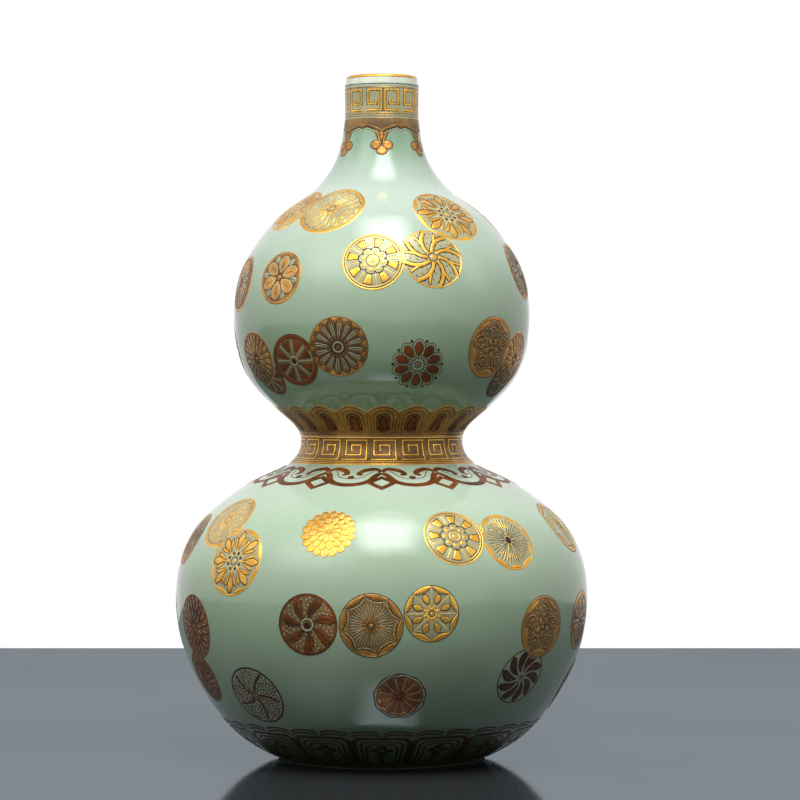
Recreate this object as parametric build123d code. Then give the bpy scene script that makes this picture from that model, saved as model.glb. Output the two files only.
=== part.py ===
from build123d import *
import math
import os

# Double gourd vase in celadon porcelain with raised gilding. Millimetres, +Z up. The origin is the centre of the
# foot rim, in the plane it stands on, and -Y is the side that faces the viewer. The pot is thrown in five
# sections, which are luted together with slip at four level joints, glazed, and then gilded over the glaze.

# Silhouette: levels above the table and outer radii at the landmarks of the two bulbs
overall_height = 320.0
belly_level = 74.0
waist_level = 148.0
crown_level = 206.0
neck_level = 306.0
belly_radius = 96.5
waist_radius = 37.75
crown_radius = 69.4
neck_radius = 17.1

# Outline between two landmarks, as (share of the level step, share of the radius step)
foot_to_belly_shares = [(0.03, 0.10), (0.15, 0.388), (0.40, 0.706), (0.70, 0.925)]
belly_to_waist_shares = [
    (0.25, 0.034), (0.50, 0.198), (0.66, 0.426), (0.80, 0.728), (0.87, 0.905), (0.935, 0.978),
]
waist_to_crown_shares = [(0.10, 0.040), (0.20, 0.205), (0.35, 0.515), (0.52, 0.780), (0.74, 0.940)]
crown_to_neck_shares = [
    (0.13, 0.018), (0.27, 0.103), (0.38, 0.240), (0.50, 0.450), (0.585, 0.675), (0.66, 0.815), (0.75, 0.918),
    (0.88, 0.984),
]

# Lip: a short upright band, a bevel and a rounded crest
lip_radius = 17.35
lip_band_drop = 4.3
crest_rise = 1.2
bevel_inset = 0.75
crest_inset = 0.4
mouth_radius = 13.6
mouth_flare_drop = 1.6
bore_length = 30.0

# Foot: a rim that is cut flat, with a recessed base inside it
foot_radius = 48.9
foot_edge = 1.1
foot_rim_width = 4.2
foot_inner_slope = 1.6
base_recess = 5.5
base_thickness = 6.5
floor_radius = 30.0
floor_to_wall_shares = [(0.03, 0.35), (0.25, 0.70)]

# Walls, measured square to the outside
lower_wall = 4.8
upper_wall = 3.6
wall_stations = 22
wall_start_share = 0.09
wall_end_share = 0.88
wall_to_bore_shares = [(0.45, 0.62), (0.78, 0.93)]

# Luted joints: the throwing sections meet at the belly, the waist, the crown and the root of the neck
neck_root_level = 272.0
slip_thickness = 0.6
slip_bead_radius = 1.6

# Gilding, a raised skin that lies on a film of flux over the glaze
gilt_seat = 0.06
gilt_thickness = 0.3
gilt_gap = 0.5
gilt_stations = 56
lip_gilt_thickness = 0.25
lip_gilt_stations = 8

# Neck ornament
neck_fret_top = 313.6
neck_fret_bottom = 301.4
ruyi_band_top = 300.4
ruyi_band_bottom = 294.6
pendant_count = 6
pendant_drop = 11.4
pendant_head_radius = 1.9
pendant_head_spread = 2.4
pendant_stem_width = 1.7

# Waist ornament
petal_collar_top = 165.8
petal_collar_bottom = 153.0
petal_count = 20
petal_length = 13.0
petal_tip_drop = 5.0
petal_gap = 0.8
waist_fret_top = 151.2
waist_fret_bottom = 138.4
shoulder_collar_top = 137.0
shoulder_collar_bottom = 133.4
scroll_count = 12
scroll_radius = 5.2
diamond_side = 6.5

# Foot ornament: a scalloped line over a ring of upright panels
foot_line_top = 20.8
foot_line_bottom = 18.6
panel_top = 17.6
panel_bottom = 3.0
panel_count = 16
panel_gap = 1.2

# Roundels, in the order they are laid, so that a later one is cut back where it would lie over an earlier one. Each is
# (azimuth in degrees from the front, share of the bulb's height, share of the roundel radius, lobes)
roundel_radius = 14.0
roundel_core_share = 0.82
upper_top_shares = [
    (-30.3, 0.872, 1.10, 0), (37.6, 0.851, 1.12, 0), (-66.0, 0.870, 1.02, 10), (96.0, 0.862, 1.10, 0),
    (150.0, 0.855, 1.05, 10), (212.0, 0.868, 1.10, 0), (256.0, 0.850, 0.95, 0),
]
upper_middle_shares = [
    (-3.5, 0.671, 1.01, 0), (21.1, 0.684, 1.05, 0), (-43.8, 0.614, 0.92, 6), (-76.0, 0.600, 0.98, 0),
    (74.5, 0.650, 1.00, 0), (112.0, 0.610, 1.02, 10), (142.0, 0.655, 1.00, 0), (170.0, 0.600, 0.96, 6),
    (197.0, 0.668, 1.02, 0), (232.0, 0.620, 1.02, 0),
]
upper_bottom_shares = [
    (-16.9, 0.356, 0.98, 0), (14.4, 0.291, 0.88, 10), (47.9, 0.354, 1.03, 0), (-39.5, 0.306, 0.90, 0),
    (-63.0, 0.330, 0.92, 0), (74.0, 0.310, 0.98, 0), (100.0, 0.350, 0.95, 0), (127.0, 0.300, 1.00, 8),
    (154.0, 0.360, 0.92, 0), (182.0, 0.310, 1.00, 0), (209.0, 0.350, 0.95, 10), (240.0, 0.310, 1.00, 0),
    (268.0, 0.345, 0.92, 0),
]
lower_top_shares = [
    (-58.5, 0.762, 1.08, 0), (-16.1, 0.738, 0.91, 10), (21.8, 0.725, 1.00, 0), (41.5, 0.706, 1.02, 12),
    (73.0, 0.742, 1.02, 0), (-38.5, 0.640, 1.05, 8), (-79.0, 0.690, 0.95, 0), (98.0, 0.710, 1.05, 0),
    (122.0, 0.752, 0.95, 8), (147.0, 0.700, 1.04, 0), (176.0, 0.740, 1.05, 10), (203.0, 0.705, 1.00, 0),
    (232.0, 0.745, 1.05, 0), (256.0, 0.700, 0.96, 10),
]
lower_middle_shares = [
    (-20.5, 0.462, 1.00, 0), (-1.6, 0.462, 1.03, 0), (15.8, 0.505, 0.90, 0), (49.5, 0.441, 1.02, 0),
    (73.0, 0.450, 1.00, 0), (-64.0, 0.432, 1.08, 0), (96.0, 0.478, 0.95, 10), (117.0, 0.430, 1.03, 0),
    (139.0, 0.470, 0.95, 6), (163.0, 0.440, 1.05, 0), (187.0, 0.480, 1.00, 0), (213.0, 0.440, 0.96, 8),
    (241.0, 0.470, 1.05, 0), (270.0, 0.440, 0.95, 0),
]
lower_bottom_shares = [
    (5.3, 0.250, 0.86, 8), (-41.4, 0.246, 1.05, 0), (43.0, 0.240, 0.98, 0), (-71.0, 0.262, 0.92, 10),
    (84.0, 0.240, 1.00, 0), (106.0, 0.262, 0.85, 8), (131.0, 0.240, 1.00, 0),
    (156.0, 0.255, 0.92, 0), (181.0, 0.240, 1.02, 10), (207.0, 0.262, 0.90, 0), (233.0, 0.240, 1.00, 0),
]

# One overrun serves all cuts
overrun = 5.0
bisection_steps = 24


def between(low_level, low_radius, high_level, high_radius, shares):
    """Stations of the outline between two landmarks."""
    level_step = high_level - low_level
    radius_step = high_radius - low_radius
    return [(low_radius + radius_step * across, 0, low_level + level_step * up) for up, across in shares]


def arc_stretch(curve, distance, start_share, end_share, count):
    """Points at a distance outside a curve, evenly spaced along part of it."""
    points = []
    for step in range(count + 1):
        share = start_share + (end_share - start_share) * step / count
        points.append(offset_point(curve, distance(share), share))
    return points


def offset_point(curve, distance, share):
    """The point that lies a distance square outside the curve, at a share of its length."""
    direction = curve.tangent_at(share)
    outward = Vector(direction.Z, 0, -direction.X)
    return curve.position_at(share) + outward * distance


def share_at(curve, level):
    """The share of the curve's length at which it reaches a level, found by halving."""
    low, high = 0.0, 1.0
    for _ in range(bisection_steps):
        middle = (low + high) / 2
        if curve.position_at(middle).Z < level:
            low = middle
        else:
            high = middle
    return (low + high) / 2


# The outside of the wall, from the edge of the foot to the lip
lip_level = overall_height - lip_gilt_thickness
band_level = lip_level - lip_band_drop
landmarks = [(foot_radius, 0, foot_edge)]
landmarks += between(foot_edge, foot_radius, belly_level, belly_radius, foot_to_belly_shares)
landmarks += [(belly_radius, 0, belly_level)]
landmarks += between(belly_level, belly_radius, waist_level, waist_radius, belly_to_waist_shares)
landmarks += [(waist_radius, 0, waist_level)]
landmarks += between(waist_level, waist_radius, crown_level, crown_radius, waist_to_crown_shares)
landmarks += [(crown_radius, 0, crown_level)]
landmarks += between(crown_level, crown_radius, neck_level, neck_radius, crown_to_neck_shares)
landmarks += [(neck_radius, 0, neck_level), (lip_radius, 0, band_level)]
outside = Spline(*landmarks)


def wall_at(share):
    """Wall thickness, which thins steadily from the foot to the lip."""
    return lower_wall + (upper_wall - lower_wall) * share


def section_face(edges):
    """A closed outline in the plane that is turned about the axis."""
    return Sketch() + make_face(Wire(edges))


def strip(low, high):
    """The part of the turning plane between two levels."""
    reach = belly_radius + crown_radius
    return Plane.XZ * Pos(reach / 2, (low + high) / 2) * Rectangle(reach, high - low)


def turn(face):
    """The solid that a face sweeps round the axis."""
    return revolve(face, Axis.Z)


def pot_outline():
    """The section through wall, foot and lip, from the edge of the foot up the outside and back down the inside."""
    bore_top = lip_level - mouth_flare_drop
    bore_bottom = bore_top - bore_length
    floor_level = base_recess + base_thickness
    recess_radius = foot_radius - foot_edge - foot_rim_width - foot_inner_slope
    wall = arc_stretch(outside, lambda share: -wall_at(share), wall_start_share, wall_end_share, wall_stations)
    low, high = wall[0], wall[-1]
    inside = [
        (floor_radius, 0, floor_level),
        *between(floor_level, floor_radius, low.Z, low.X, floor_to_wall_shares),
        *wall,
        *between(high.Z, high.X, bore_bottom, mouth_radius, wall_to_bore_shares),
        (mouth_radius, 0, bore_bottom),
    ]
    bevel_top, crest_top, crest_inner = crest_points()
    return section_face([
        outside,
        Line(outside @ 1, bevel_top),
        ThreePointArc(bevel_top, crest_top, crest_inner),
        Line(crest_inner, (mouth_radius, 0, bore_top)),
        Line((mouth_radius, 0, bore_top), (mouth_radius, 0, bore_bottom)),
        Spline(*inside),
        Line((floor_radius, 0, floor_level), (0, 0, floor_level)),
        Line((0, 0, floor_level), (0, 0, base_recess)),
        Line((0, 0, base_recess), (recess_radius, 0, base_recess)),
        Line((recess_radius, 0, base_recess), (recess_radius + foot_inner_slope, 0, 0)),
        Line((recess_radius + foot_inner_slope, 0, 0), (foot_radius - foot_edge, 0, 0)),
        Line((foot_radius - foot_edge, 0, 0), outside @ 0),
    ])


def crest_points():
    """Outer edge, top and inner edge of the lip's rounded crest."""
    outer = lip_radius - bevel_inset
    inner = mouth_radius + crest_inset
    edge_level = lip_level - crest_rise
    return (outer, 0, edge_level), ((outer + inner) / 2, 0, lip_level), (inner, 0, edge_level)


def skin_outline():
    """The section of the raised gilding as if it covered the whole outside."""
    reach = gilt_seat + gilt_thickness
    seat = Spline(*arc_stretch(outside, lambda share: gilt_seat, 0, 1, gilt_stations))
    raised = Spline(*arc_stretch(outside, lambda share: reach, 0, 1, gilt_stations))
    return section_face([seat, Line(seat @ 1, raised @ 1), raised, Line(raised @ 0, seat @ 0)])


def slip_outline(pot, level):
    """The slip in one luted joint: the thin layer between two sections and the bead wiped along the inside."""
    layer = pot & strip(level - slip_thickness / 2, level + slip_thickness / 2)
    bead = Plane.XZ * Pos(layer.bounding_box().min.X, level) * Circle(slip_bead_radius)
    return layer + (bead - pot)


def front_plane(level):
    """A plane that touches the outside at a level of the front, with its x to the right and its y up the wall."""
    share = share_at(outside, level)
    point = outside.position_at(share)
    direction = outside.tangent_at(share)
    return Plane(
        origin=(0, -point.X, point.Z),
        x_dir=(1, 0, 0),
        z_dir=(0, -direction.Z, -direction.X),
    )


def circle_round(radius, count, gap):
    """The width of one of several equal pieces round a circle, less the gap between them."""
    return math.tau * radius / count - gap


def punch(plane, outline, depth):
    """A flat outline carried through the wall both ways."""
    return extrude(plane * outline, depth, both=True)


def stamp(field, level, outline, depth):
    """The piece of the gilding under a flat outline that is laid on the front of the wall."""
    return field & punch(front_plane(level), outline, depth)


def ring_of(piece, count, first=0):
    """Copies of a piece evenly spaced round the axis."""
    solids = []
    for number in range(count):
        solids += (Rot(0, 0, first + number * 360 / count) * piece).solids()
    return solids


def make_petal_collar(skin):
    """A row of round-topped lappets above the waist, a gap apart at their widest."""
    field = turn(skin & strip(petal_collar_bottom, petal_collar_top))
    foot = outside.position_at(share_at(outside, petal_collar_bottom))
    width = circle_round(foot.X, petal_count, petal_gap)
    blade = Pos(0, -petal_tip_drop) * Rectangle(width, petal_length)
    tip = Pos(0, petal_length / 2 - petal_tip_drop) * Ellipse(width / 2, petal_tip_drop)
    middle = (petal_collar_bottom + petal_collar_top) / 2
    return ring_of(stamp(field, middle, blade + tip, petal_length), petal_count)


def make_shoulder_collar(skin):
    """A ring below the waist with ruyi scrolls and diamonds hanging from it by turns."""
    ring = turn(skin & strip(shoulder_collar_bottom, shoulder_collar_top))
    field = turn(skin & strip(foot_line_top, shoulder_collar_bottom))
    corner = Rot(0, 0, 45) * Rectangle(diamond_side, diamond_side)
    scroll = stamp(field, shoulder_collar_bottom, Circle(scroll_radius), scroll_radius)
    diamond = stamp(field, shoulder_collar_bottom, corner, diamond_side)
    half_step = 180 / scroll_count
    return ring.solids() + ring_of(scroll, scroll_count) + ring_of(diamond, scroll_count, half_step)


def make_pendants(skin):
    """The ruyi band at the neck: a ring with trefoil heads that hang from it on stems."""
    ring = turn(skin & strip(ruyi_band_bottom, ruyi_band_top))
    field = turn(skin & strip(neck_root_level, ruyi_band_bottom))
    tip = pendant_head_radius - pendant_drop
    head = Pos(0, tip) * Circle(pendant_head_radius)
    for side in (-1, 1):
        head += Pos(side * pendant_head_spread, tip + pendant_head_spread) * Circle(pendant_head_radius)
    stem = Pos(0, tip / 2) * Rectangle(pendant_stem_width, -tip)
    pendant = stamp(field, ruyi_band_bottom, stem + head, pendant_drop)
    return ring.solids() + ring_of(pendant, pendant_count)


def make_foot_panels(skin):
    """Upright lappet panels round the foot, under one gilt line."""
    field = turn(skin & strip(panel_bottom, panel_top))
    foot = outside.position_at(share_at(outside, panel_bottom))
    width = circle_round(foot.X, panel_count, panel_gap)
    panel = stamp(field, (panel_bottom + panel_top) / 2, Rectangle(width, belly_radius), width)
    line = turn(skin & strip(foot_line_bottom, foot_line_top))
    return line.solids() + ring_of(panel, panel_count)


def roundel_outline(radius, lobes):
    """A plain disc, or a flower whose smooth edge runs between its lobes and the hollows between them."""
    if lobes == 0:
        return Circle(radius)
    reaches = (radius, radius * roundel_core_share) * lobes
    turns = [math.tau * number / len(reaches) for number in range(len(reaches))]
    points = [(reach * math.cos(turn_to), reach * math.sin(turn_to)) for reach, turn_to in zip(reaches, turns)]
    return make_face(Spline(*points, periodic=True))


def make_roundels(field, low_level, high_level, rows, laid):
    """The roundels of one row, each cut back by a gap from those that were laid before it."""
    solids = []
    for azimuth, up, size, lobes in rows:
        radius = roundel_radius * size
        level = low_level + (high_level - low_level) * up
        place = Rot(0, 0, azimuth)
        pad = place * stamp(field, level, roundel_outline(radius, lobes), radius)
        plane = Plane(place * front_plane(level).location)
        for other_plane, other_radius in laid:
            apart = (plane.origin - other_plane.origin).length
            if apart < radius + other_radius + gilt_gap:
                pad = pad - punch(other_plane, Circle(other_radius + gilt_gap), other_radius)
        laid.append((plane, radius))
        solids += pad.solids()
    return solids


def make_lip_gilt():
    """The gilt line brushed over the crest of the lip."""
    crest = ThreePointArc(*crest_points())
    over = Spline(*arc_stretch(crest, lambda share: lip_gilt_thickness, 0, 1, lip_gilt_stations))
    return turn(section_face([crest, Line(crest @ 1, over @ 1), over, Line(over @ 0, crest @ 0)]))


def make_vase():
    """Every piece of the vase by the name of its node."""
    pot = pot_outline()
    skin = skin_outline()
    half = slip_thickness / 2
    lower_field = turn(skin & strip(foot_line_top + gilt_gap, shoulder_collar_bottom - scroll_radius - gilt_gap))
    upper_field = turn(skin & strip(petal_collar_top + gilt_gap, ruyi_band_bottom - pendant_drop - gilt_gap))
    lower = (lower_field, 0, waist_level)
    upper = (upper_field, waist_level, neck_root_level)
    laid_low, laid_high = [], []
    return {
        "foot_and_lower_bowl": turn(pot & strip(-overrun, belly_level - half)),
        "lower_bulb_shoulder": turn(pot & strip(belly_level + half, waist_level - half)),
        "upper_bulb_bowl": turn(pot & strip(waist_level + half, crown_level - half)),
        "upper_bulb_shoulder": turn(pot & strip(crown_level + half, neck_root_level - half)),
        "neck_and_lip": turn(pot & strip(neck_root_level + half, overall_height + overrun)),
        "belly_slip_joint": turn(slip_outline(pot, belly_level)),
        "waist_slip_joint": turn(slip_outline(pot, waist_level)),
        "crown_slip_joint": turn(slip_outline(pot, crown_level)),
        "neck_slip_joint": turn(slip_outline(pot, neck_root_level)),
        "gilt_lip_line": make_lip_gilt(),
        "gilt_neck_fret": turn(skin & strip(neck_fret_bottom, neck_fret_top)),
        "gilt_neck_pendants": make_pendants(skin),
        "gilt_upper_roundels_top": make_roundels(*upper, upper_top_shares, laid_high),
        "gilt_upper_roundels_middle": make_roundels(*upper, upper_middle_shares, laid_high),
        "gilt_upper_roundels_bottom": make_roundels(*upper, upper_bottom_shares, laid_high),
        "gilt_petal_collar": make_petal_collar(skin),
        "gilt_waist_fret": turn(skin & strip(waist_fret_bottom, waist_fret_top)),
        "gilt_shoulder_collar": make_shoulder_collar(skin),
        "gilt_lower_roundels_top": make_roundels(*lower, lower_top_shares, laid_low),
        "gilt_lower_roundels_middle": make_roundels(*lower, lower_middle_shares, laid_low),
        "gilt_lower_roundels_bottom": make_roundels(*lower, lower_bottom_shares, laid_low),
        "gilt_foot_panels": make_foot_panels(skin),
    }


def export_vase():
    """One STEP file for each node."""
    os.makedirs("parts", exist_ok=True)
    for name, piece in make_vase().items():
        solids = piece if isinstance(piece, list) else piece.solids()
        export_step(Compound(children=solids), f"parts/{name}.step")


export_vase()
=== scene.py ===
"""Double gourd vase in celadon porcelain with fired gilding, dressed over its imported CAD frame.

Lengths are millimetres and angles degrees unless a name says otherwise, and meshes are written in metres.
Azimuth 0 is the front of the vase, -Y, and azimuths grow towards +X.
"""

import logging
import math
from dataclasses import dataclass, field, replace
from enum import Enum
from typing import Callable, Iterable, Sequence

import bpy
import numpy as np
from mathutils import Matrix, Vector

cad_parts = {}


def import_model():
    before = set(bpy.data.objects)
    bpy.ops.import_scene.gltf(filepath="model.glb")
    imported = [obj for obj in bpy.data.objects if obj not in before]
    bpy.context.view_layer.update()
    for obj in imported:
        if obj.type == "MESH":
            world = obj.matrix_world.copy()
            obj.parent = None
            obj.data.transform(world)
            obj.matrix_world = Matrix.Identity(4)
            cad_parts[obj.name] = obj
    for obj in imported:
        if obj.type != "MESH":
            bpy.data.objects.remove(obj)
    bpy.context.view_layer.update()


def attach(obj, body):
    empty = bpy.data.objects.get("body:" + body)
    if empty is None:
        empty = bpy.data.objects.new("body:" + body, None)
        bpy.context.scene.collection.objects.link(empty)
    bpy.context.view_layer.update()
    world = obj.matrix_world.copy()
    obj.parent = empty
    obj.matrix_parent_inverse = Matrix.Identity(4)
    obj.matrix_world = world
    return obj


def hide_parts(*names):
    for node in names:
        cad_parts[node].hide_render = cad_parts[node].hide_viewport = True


LOG = logging.getLogger("double_gourd_vase")
METRES = 0.001
BODY = "root"

Grid = np.ndarray
Marks = list["Mark"]
Place = Callable[[Grid], tuple[Grid, Grid]]
Pair = tuple[float, float]
Triple = tuple[float, float, float]
Shares = tuple[Pair, ...]
Colour = tuple[int, int, int]
Material = bpy.types.Material
Node = bpy.types.Node
NodeTree = bpy.types.NodeTree
Socket = bpy.types.NodeSocket


class Ink(Enum):
    """The part that a brushed mark plays in a design."""

    MAIN = "main"
    LINE = "line"
    THIN = "thin"
    BARE = "bare"


MAIN, LINE, THIN, BARE = Ink


class Coat(Enum):
    """The fired coats that a mark can be painted in, in the order of a piece's material slots."""

    BRIGHT_GOLD = 0
    OLD_GOLD = 1
    PALE_WASH = 2
    BROWN_WASH = 3
    RUSSET = 4
    IRON = 5
    BARE_GLAZE = 6


class Tone(Enum):
    """How a design was painted: the coats of its main marks, lines, thin ground and reserved lines."""

    BRIGHT = (Coat.BRIGHT_GOLD, Coat.OLD_GOLD, Coat.PALE_WASH, Coat.BARE_GLAZE)
    OUTLINED = (Coat.BRIGHT_GOLD, Coat.IRON, Coat.PALE_WASH, Coat.BARE_GLAZE)
    OLD = (Coat.OLD_GOLD, Coat.IRON, Coat.BROWN_WASH, Coat.BARE_GLAZE)
    DARK = (Coat.RUSSET, Coat.IRON, Coat.BROWN_WASH, Coat.BARE_GLAZE)

    def coat(self, ink: Ink) -> Coat:
        """The coat that this tone gives to an ink."""
        return self.value[list(Ink).index(ink)]


class Design(Enum):
    """The flower designs of the roundels."""

    GOLDEN_MUM = "golden_mum"
    LEAF_WREATH = "leaf_wreath"
    WEDGE_WHEEL = "wedge_wheel"
    WHIPLASH = "whiplash"
    SIX_PETALS = "six_petals"
    DAISY = "daisy"
    SPOKE_WHEEL = "spoke_wheel"
    DENSE_MUM = "dense_mum"
    OVAL_PETALS = "oval_petals"
    SCROLLS = "scrolls"
    LAYERED_MUM = "layered_mum"
    STAMENS = "stamens"
    CURVED_SPOKES = "curved_spokes"
    ARC_FAN = "arc_fan"
    STAR_DROPS = "star_drops"
    VEINED = "veined"
    DOUBLE_WAVE = "double_wave"
    PINWHEEL = "pinwheel"


# Marks on the flat

SINK = -0.04
LINE_RISE = 0.10
FILL_RISE = 0.08
WASH_RISE = 0.035
MITRE_LIMIT = 0.35
ON_AXIS = 1e-6
GOLDEN_TURN = 137.508
WORM_TURN = 77.0


@dataclass(frozen=True)
class Mark:
    """Like marks of one ink, as grids of points on the flat.

    Args:
        grid: copies by rows by columns by (across, up, rise).
        ink: the part that the marks play.
        closed: whether the last row joins the first.
        pole: whether the last column is one point.
    """

    grid: Grid
    ink: Ink
    closed: bool = False
    pole: bool = False

    def scaled(self, size: float) -> "Mark":
        """The marks enlarged on the flat, at the same rise."""
        return replace(self, grid=self.grid * np.array([size, size, 1.0]))

    def shifted(self, across: float, up: float) -> "Mark":
        """The marks moved on the flat."""
        return replace(self, grid=self.grid + np.array([across, up, 0.0]))

    def mirrored(self) -> "Mark":
        """The marks turned left for right."""
        return replace(self, grid=self.grid * np.array([-1.0, 1.0, 1.0]))

    def turned(self, turn: float) -> "Mark":
        """The marks turned clockwise about the middle of the design."""
        sine, cosine = math.sin(math.radians(turn)), math.cos(math.radians(turn))
        across, up, rise = np.moveaxis(self.grid, -1, 0)
        grid = np.stack([across * cosine + up * sine, up * cosine - across * sine, rise], axis=-1)
        return replace(self, grid=grid)


def polar(radius: Grid | float, turn: Grid | float) -> Grid:
    """Points at a radius from the middle, at a turn clockwise from the top."""
    at = np.radians(turn)
    return np.stack(np.broadcast_arrays(radius * np.sin(at), radius * np.cos(at)), axis=-1)


def full_turn(count: int) -> Grid:
    """Equal steps of a full turn, in degrees, without the last."""
    return np.linspace(0.0, 360.0, count, endpoint=False)


def unit(vectors: Grid) -> Grid:
    """Vectors brought to length one."""
    return vectors / np.maximum(np.linalg.norm(vectors, axis=-1, keepdims=True), 1e-9)


def across_path(path: Grid, closed: bool) -> Grid:
    """Vectors square to a path, longer at a corner by one over the cosine of half its turn, as in a mitre.

    Args:
        path: copies by points by (across, up).
        closed: whether the path runs round to its start.

    Returns:
        One vector for each point.
    """
    if closed:
        after = np.roll(path, -1, axis=-2) - path
        before = np.roll(after, 1, axis=-2)
    else:
        steps = np.diff(path, axis=-2)
        before = np.concatenate([steps[..., :1, :], steps], axis=-2)
        after = np.concatenate([steps, steps[..., -1:, :]], axis=-2)
    before, after = (unit(np.stack([-v[..., 1], v[..., 0]], axis=-1)) for v in (before, after))
    return (before + after) / np.maximum(1.0 + (before * after).sum(-1, keepdims=True), MITRE_LIMIT)


def raised(flat: Grid, rises: Sequence[float]) -> Grid:
    """Points on the flat with the rise of each column added."""
    heights = np.broadcast_to(np.array(rises), flat.shape[:-1])
    return np.concatenate([flat, heights[..., None]], axis=-1)


def with_copies(path: Grid) -> Grid:
    """A path with the axis of copies, which a single one lacks."""
    return path if path.ndim == 3 else path[None]


def stroke(path: Grid, width: Grid | float, ink: Ink, closed: bool = False, rise: float = LINE_RISE) -> Mark:
    """A brushed line, carried along a path.

    Each point of the path is spread square to it by half the width times the shares -1, -0.5, 0.5 and 1. The
    outer two lie under the glaze and the inner two stand at the rise, and so do the ends of an open line.
    """
    path = with_copies(path)
    half = np.broadcast_to(np.asarray(width, float) / 2, path.shape[:2])[..., None, None]
    shares = np.array([-1.0, -0.5, 0.5, 1.0])[:, None]
    flat = path[:, :, None] + across_path(path, closed)[:, :, None] * half * shares
    grid = raised(flat, [SINK, rise, rise, SINK])
    if not closed:
        grid[:, [0, -1], :, 2] = SINK
    return Mark(grid, ink, closed)


def fill(outline: Grid, ink: Ink, rise: float = FILL_RISE) -> Mark:
    """A flat patch with a soft edge: its outline, and the same drawn in to 0.9, 0.5 and 0 of its reach."""
    outline = with_copies(outline)
    middle = outline.mean(axis=1, keepdims=True)
    shares = np.array([1.0, 0.9, 0.5, 0.0])[:, None]
    flat = middle[:, :, None] + (outline - middle)[:, :, None] * shares
    return Mark(raised(flat, [SINK, rise, rise, rise]), ink, closed=True, pole=True)


def sheet(first: Grid, second: Grid, ink: Ink, rise: float = FILL_RISE) -> Mark:
    """The patch between two curves, with points at 0, 0.08, 0.5, 0.92 and 1 of the way across."""
    first, second = with_copies(first), with_copies(second)
    shares = np.array([0.0, 0.08, 0.5, 0.92, 1.0])[:, None]
    flat = first[:, :, None] + (second - first)[:, :, None] * shares
    return Mark(raised(flat, [SINK, rise, rise, rise, SINK]), ink)


# Strokes of the roundels, on a disc of radius one

def around(count: int, first: float = 0.0) -> Grid:
    """Equal turns round the middle, as a column."""
    return (first + np.arange(count) * 360.0 / count)[:, None]


def ring(radius: float, width: float, ink: Ink, waves: int = 0, depth: float = 0.0, first: float = 0.0,
         rise: float = LINE_RISE) -> Mark:
    """A line round the middle, whose radius swells by its depth times the cosine of the waves."""
    turn = full_turn(96)
    reach = radius + depth * np.cos(np.radians((turn - first) * waves))
    return stroke(polar(reach, turn), width, ink, closed=True, rise=rise)


def scallops(radius: float, depth: float, width: float, ink: Ink, count: int, first: float = 0.0) -> Mark:
    """A line of bows round the middle: from each cusp its radius rises by the depth times a sine to 0.6."""
    turn = full_turn(count * 8)
    bow = np.abs(np.sin(np.radians((turn - first) * count / 2))) ** 0.6
    return stroke(polar(radius - depth + depth * bow, turn), width, ink, closed=True)


def rays(inner: float, outer: float, width: float, ink: Ink, count: int, first: float = 0.0,
         sweep: float = 0.0, taper: float = 1.0, points: int = 7, rise: float = LINE_RISE) -> Mark:
    """Lines outward from the middle that turn by the sweep and end at a taper of their first width."""
    share = np.linspace(0.0, 1.0, points)
    path = polar(inner + (outer - inner) * share, around(count, first) + sweep * share**1.3)
    return stroke(path, width * (1.0 + (taper - 1.0) * share), ink, rise=rise)


def petal_outline(inner: float, outer: float, half: float, count: int, first: float = 0.0, blunt: float = 1.0,
                  sweep: float = 0.0, tip: float = 0.55) -> Grid:
    """Petals about radial lines. The half width follows the sine of half a turn times the share along.

    The share is raised to blunt first, which moves the widest place outward, and the sine is raised to tip,
    where a half gives a round end and one gives a pointed end.
    """
    share = (1.0 - np.cos(np.linspace(0.0, np.pi, 11))) / 2
    side = half * np.abs(np.sin(np.pi * share**blunt)) ** tip
    along = inner + (outer - inner) * share
    loop_along = np.concatenate([along, along[-2:0:-1]])
    loop_side = np.concatenate([side, -side[-2:0:-1]])
    loop_share = np.concatenate([share, share[-2:0:-1]])
    turn = around(count, first) + sweep * loop_share + np.degrees(loop_side / np.maximum(loop_along, 0.05))
    return polar(loop_along, turn)


def wedge_outline(inner: float, outer: float, half_turn: float, count: int, first: float = 0.0,
                  flare: float = 0.0) -> Grid:
    """Sectors between two radii, whose half turn grows outward by the flare."""
    share = np.linspace(-1.0, 1.0, 6)
    radius = np.concatenate([np.full(6, outer), np.full(6, inner)])
    turn = np.concatenate([share * (half_turn + flare), share[::-1] * half_turn])
    return polar(radius, around(count, first) + turn)


def lenses(outer: float, depth: float, ink: Ink, count: int, first: float = 0.0, span: float = 0.96) -> Mark:
    """Patches between the circle and bows that dip inward from it by the depth times a sine."""
    share = np.linspace(0.0, 1.0, 11)
    turn = around(count, first) + (share - 0.5) * span * 360.0 / count
    inward = outer - 0.02 - depth * np.sin(np.pi * share) ** 0.7
    return sheet(polar(outer, turn), polar(inward, turn), ink)


def dots(radius: float, size: float, ink: Ink, count: int, first: float = 0.0,
         rise: float = LINE_RISE) -> Mark:
    """Small round dabs at a radius from the middle."""
    rim = polar(size, full_turn(10))
    return fill(polar(radius, around(count, first))[:, 0][:, None] + rim, ink, rise)


def worms(inner: float, outer: float, ink: Ink, count: int, size: float = 0.055,
          width: float = 0.028) -> Mark:
    """Short curled lines spread evenly over a ring: number k lies k golden turns round."""
    number = np.arange(count)[:, None]
    radius = np.sqrt(inner**2 + (outer**2 - inner**2) * (number + 0.5) / count)
    middle = polar(radius, number * GOLDEN_TURN)
    share = np.linspace(-1.0, 1.0, 6)
    along = size * share
    side = size * 0.6 * np.sin(np.pi * share)
    lean = np.radians(number * WORM_TURN)
    curl = np.stack([along * np.cos(lean) - side * np.sin(lean), along * np.sin(lean) + side * np.cos(lean)],
                    axis=-1)
    return stroke(middle + curl, width, ink)


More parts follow.
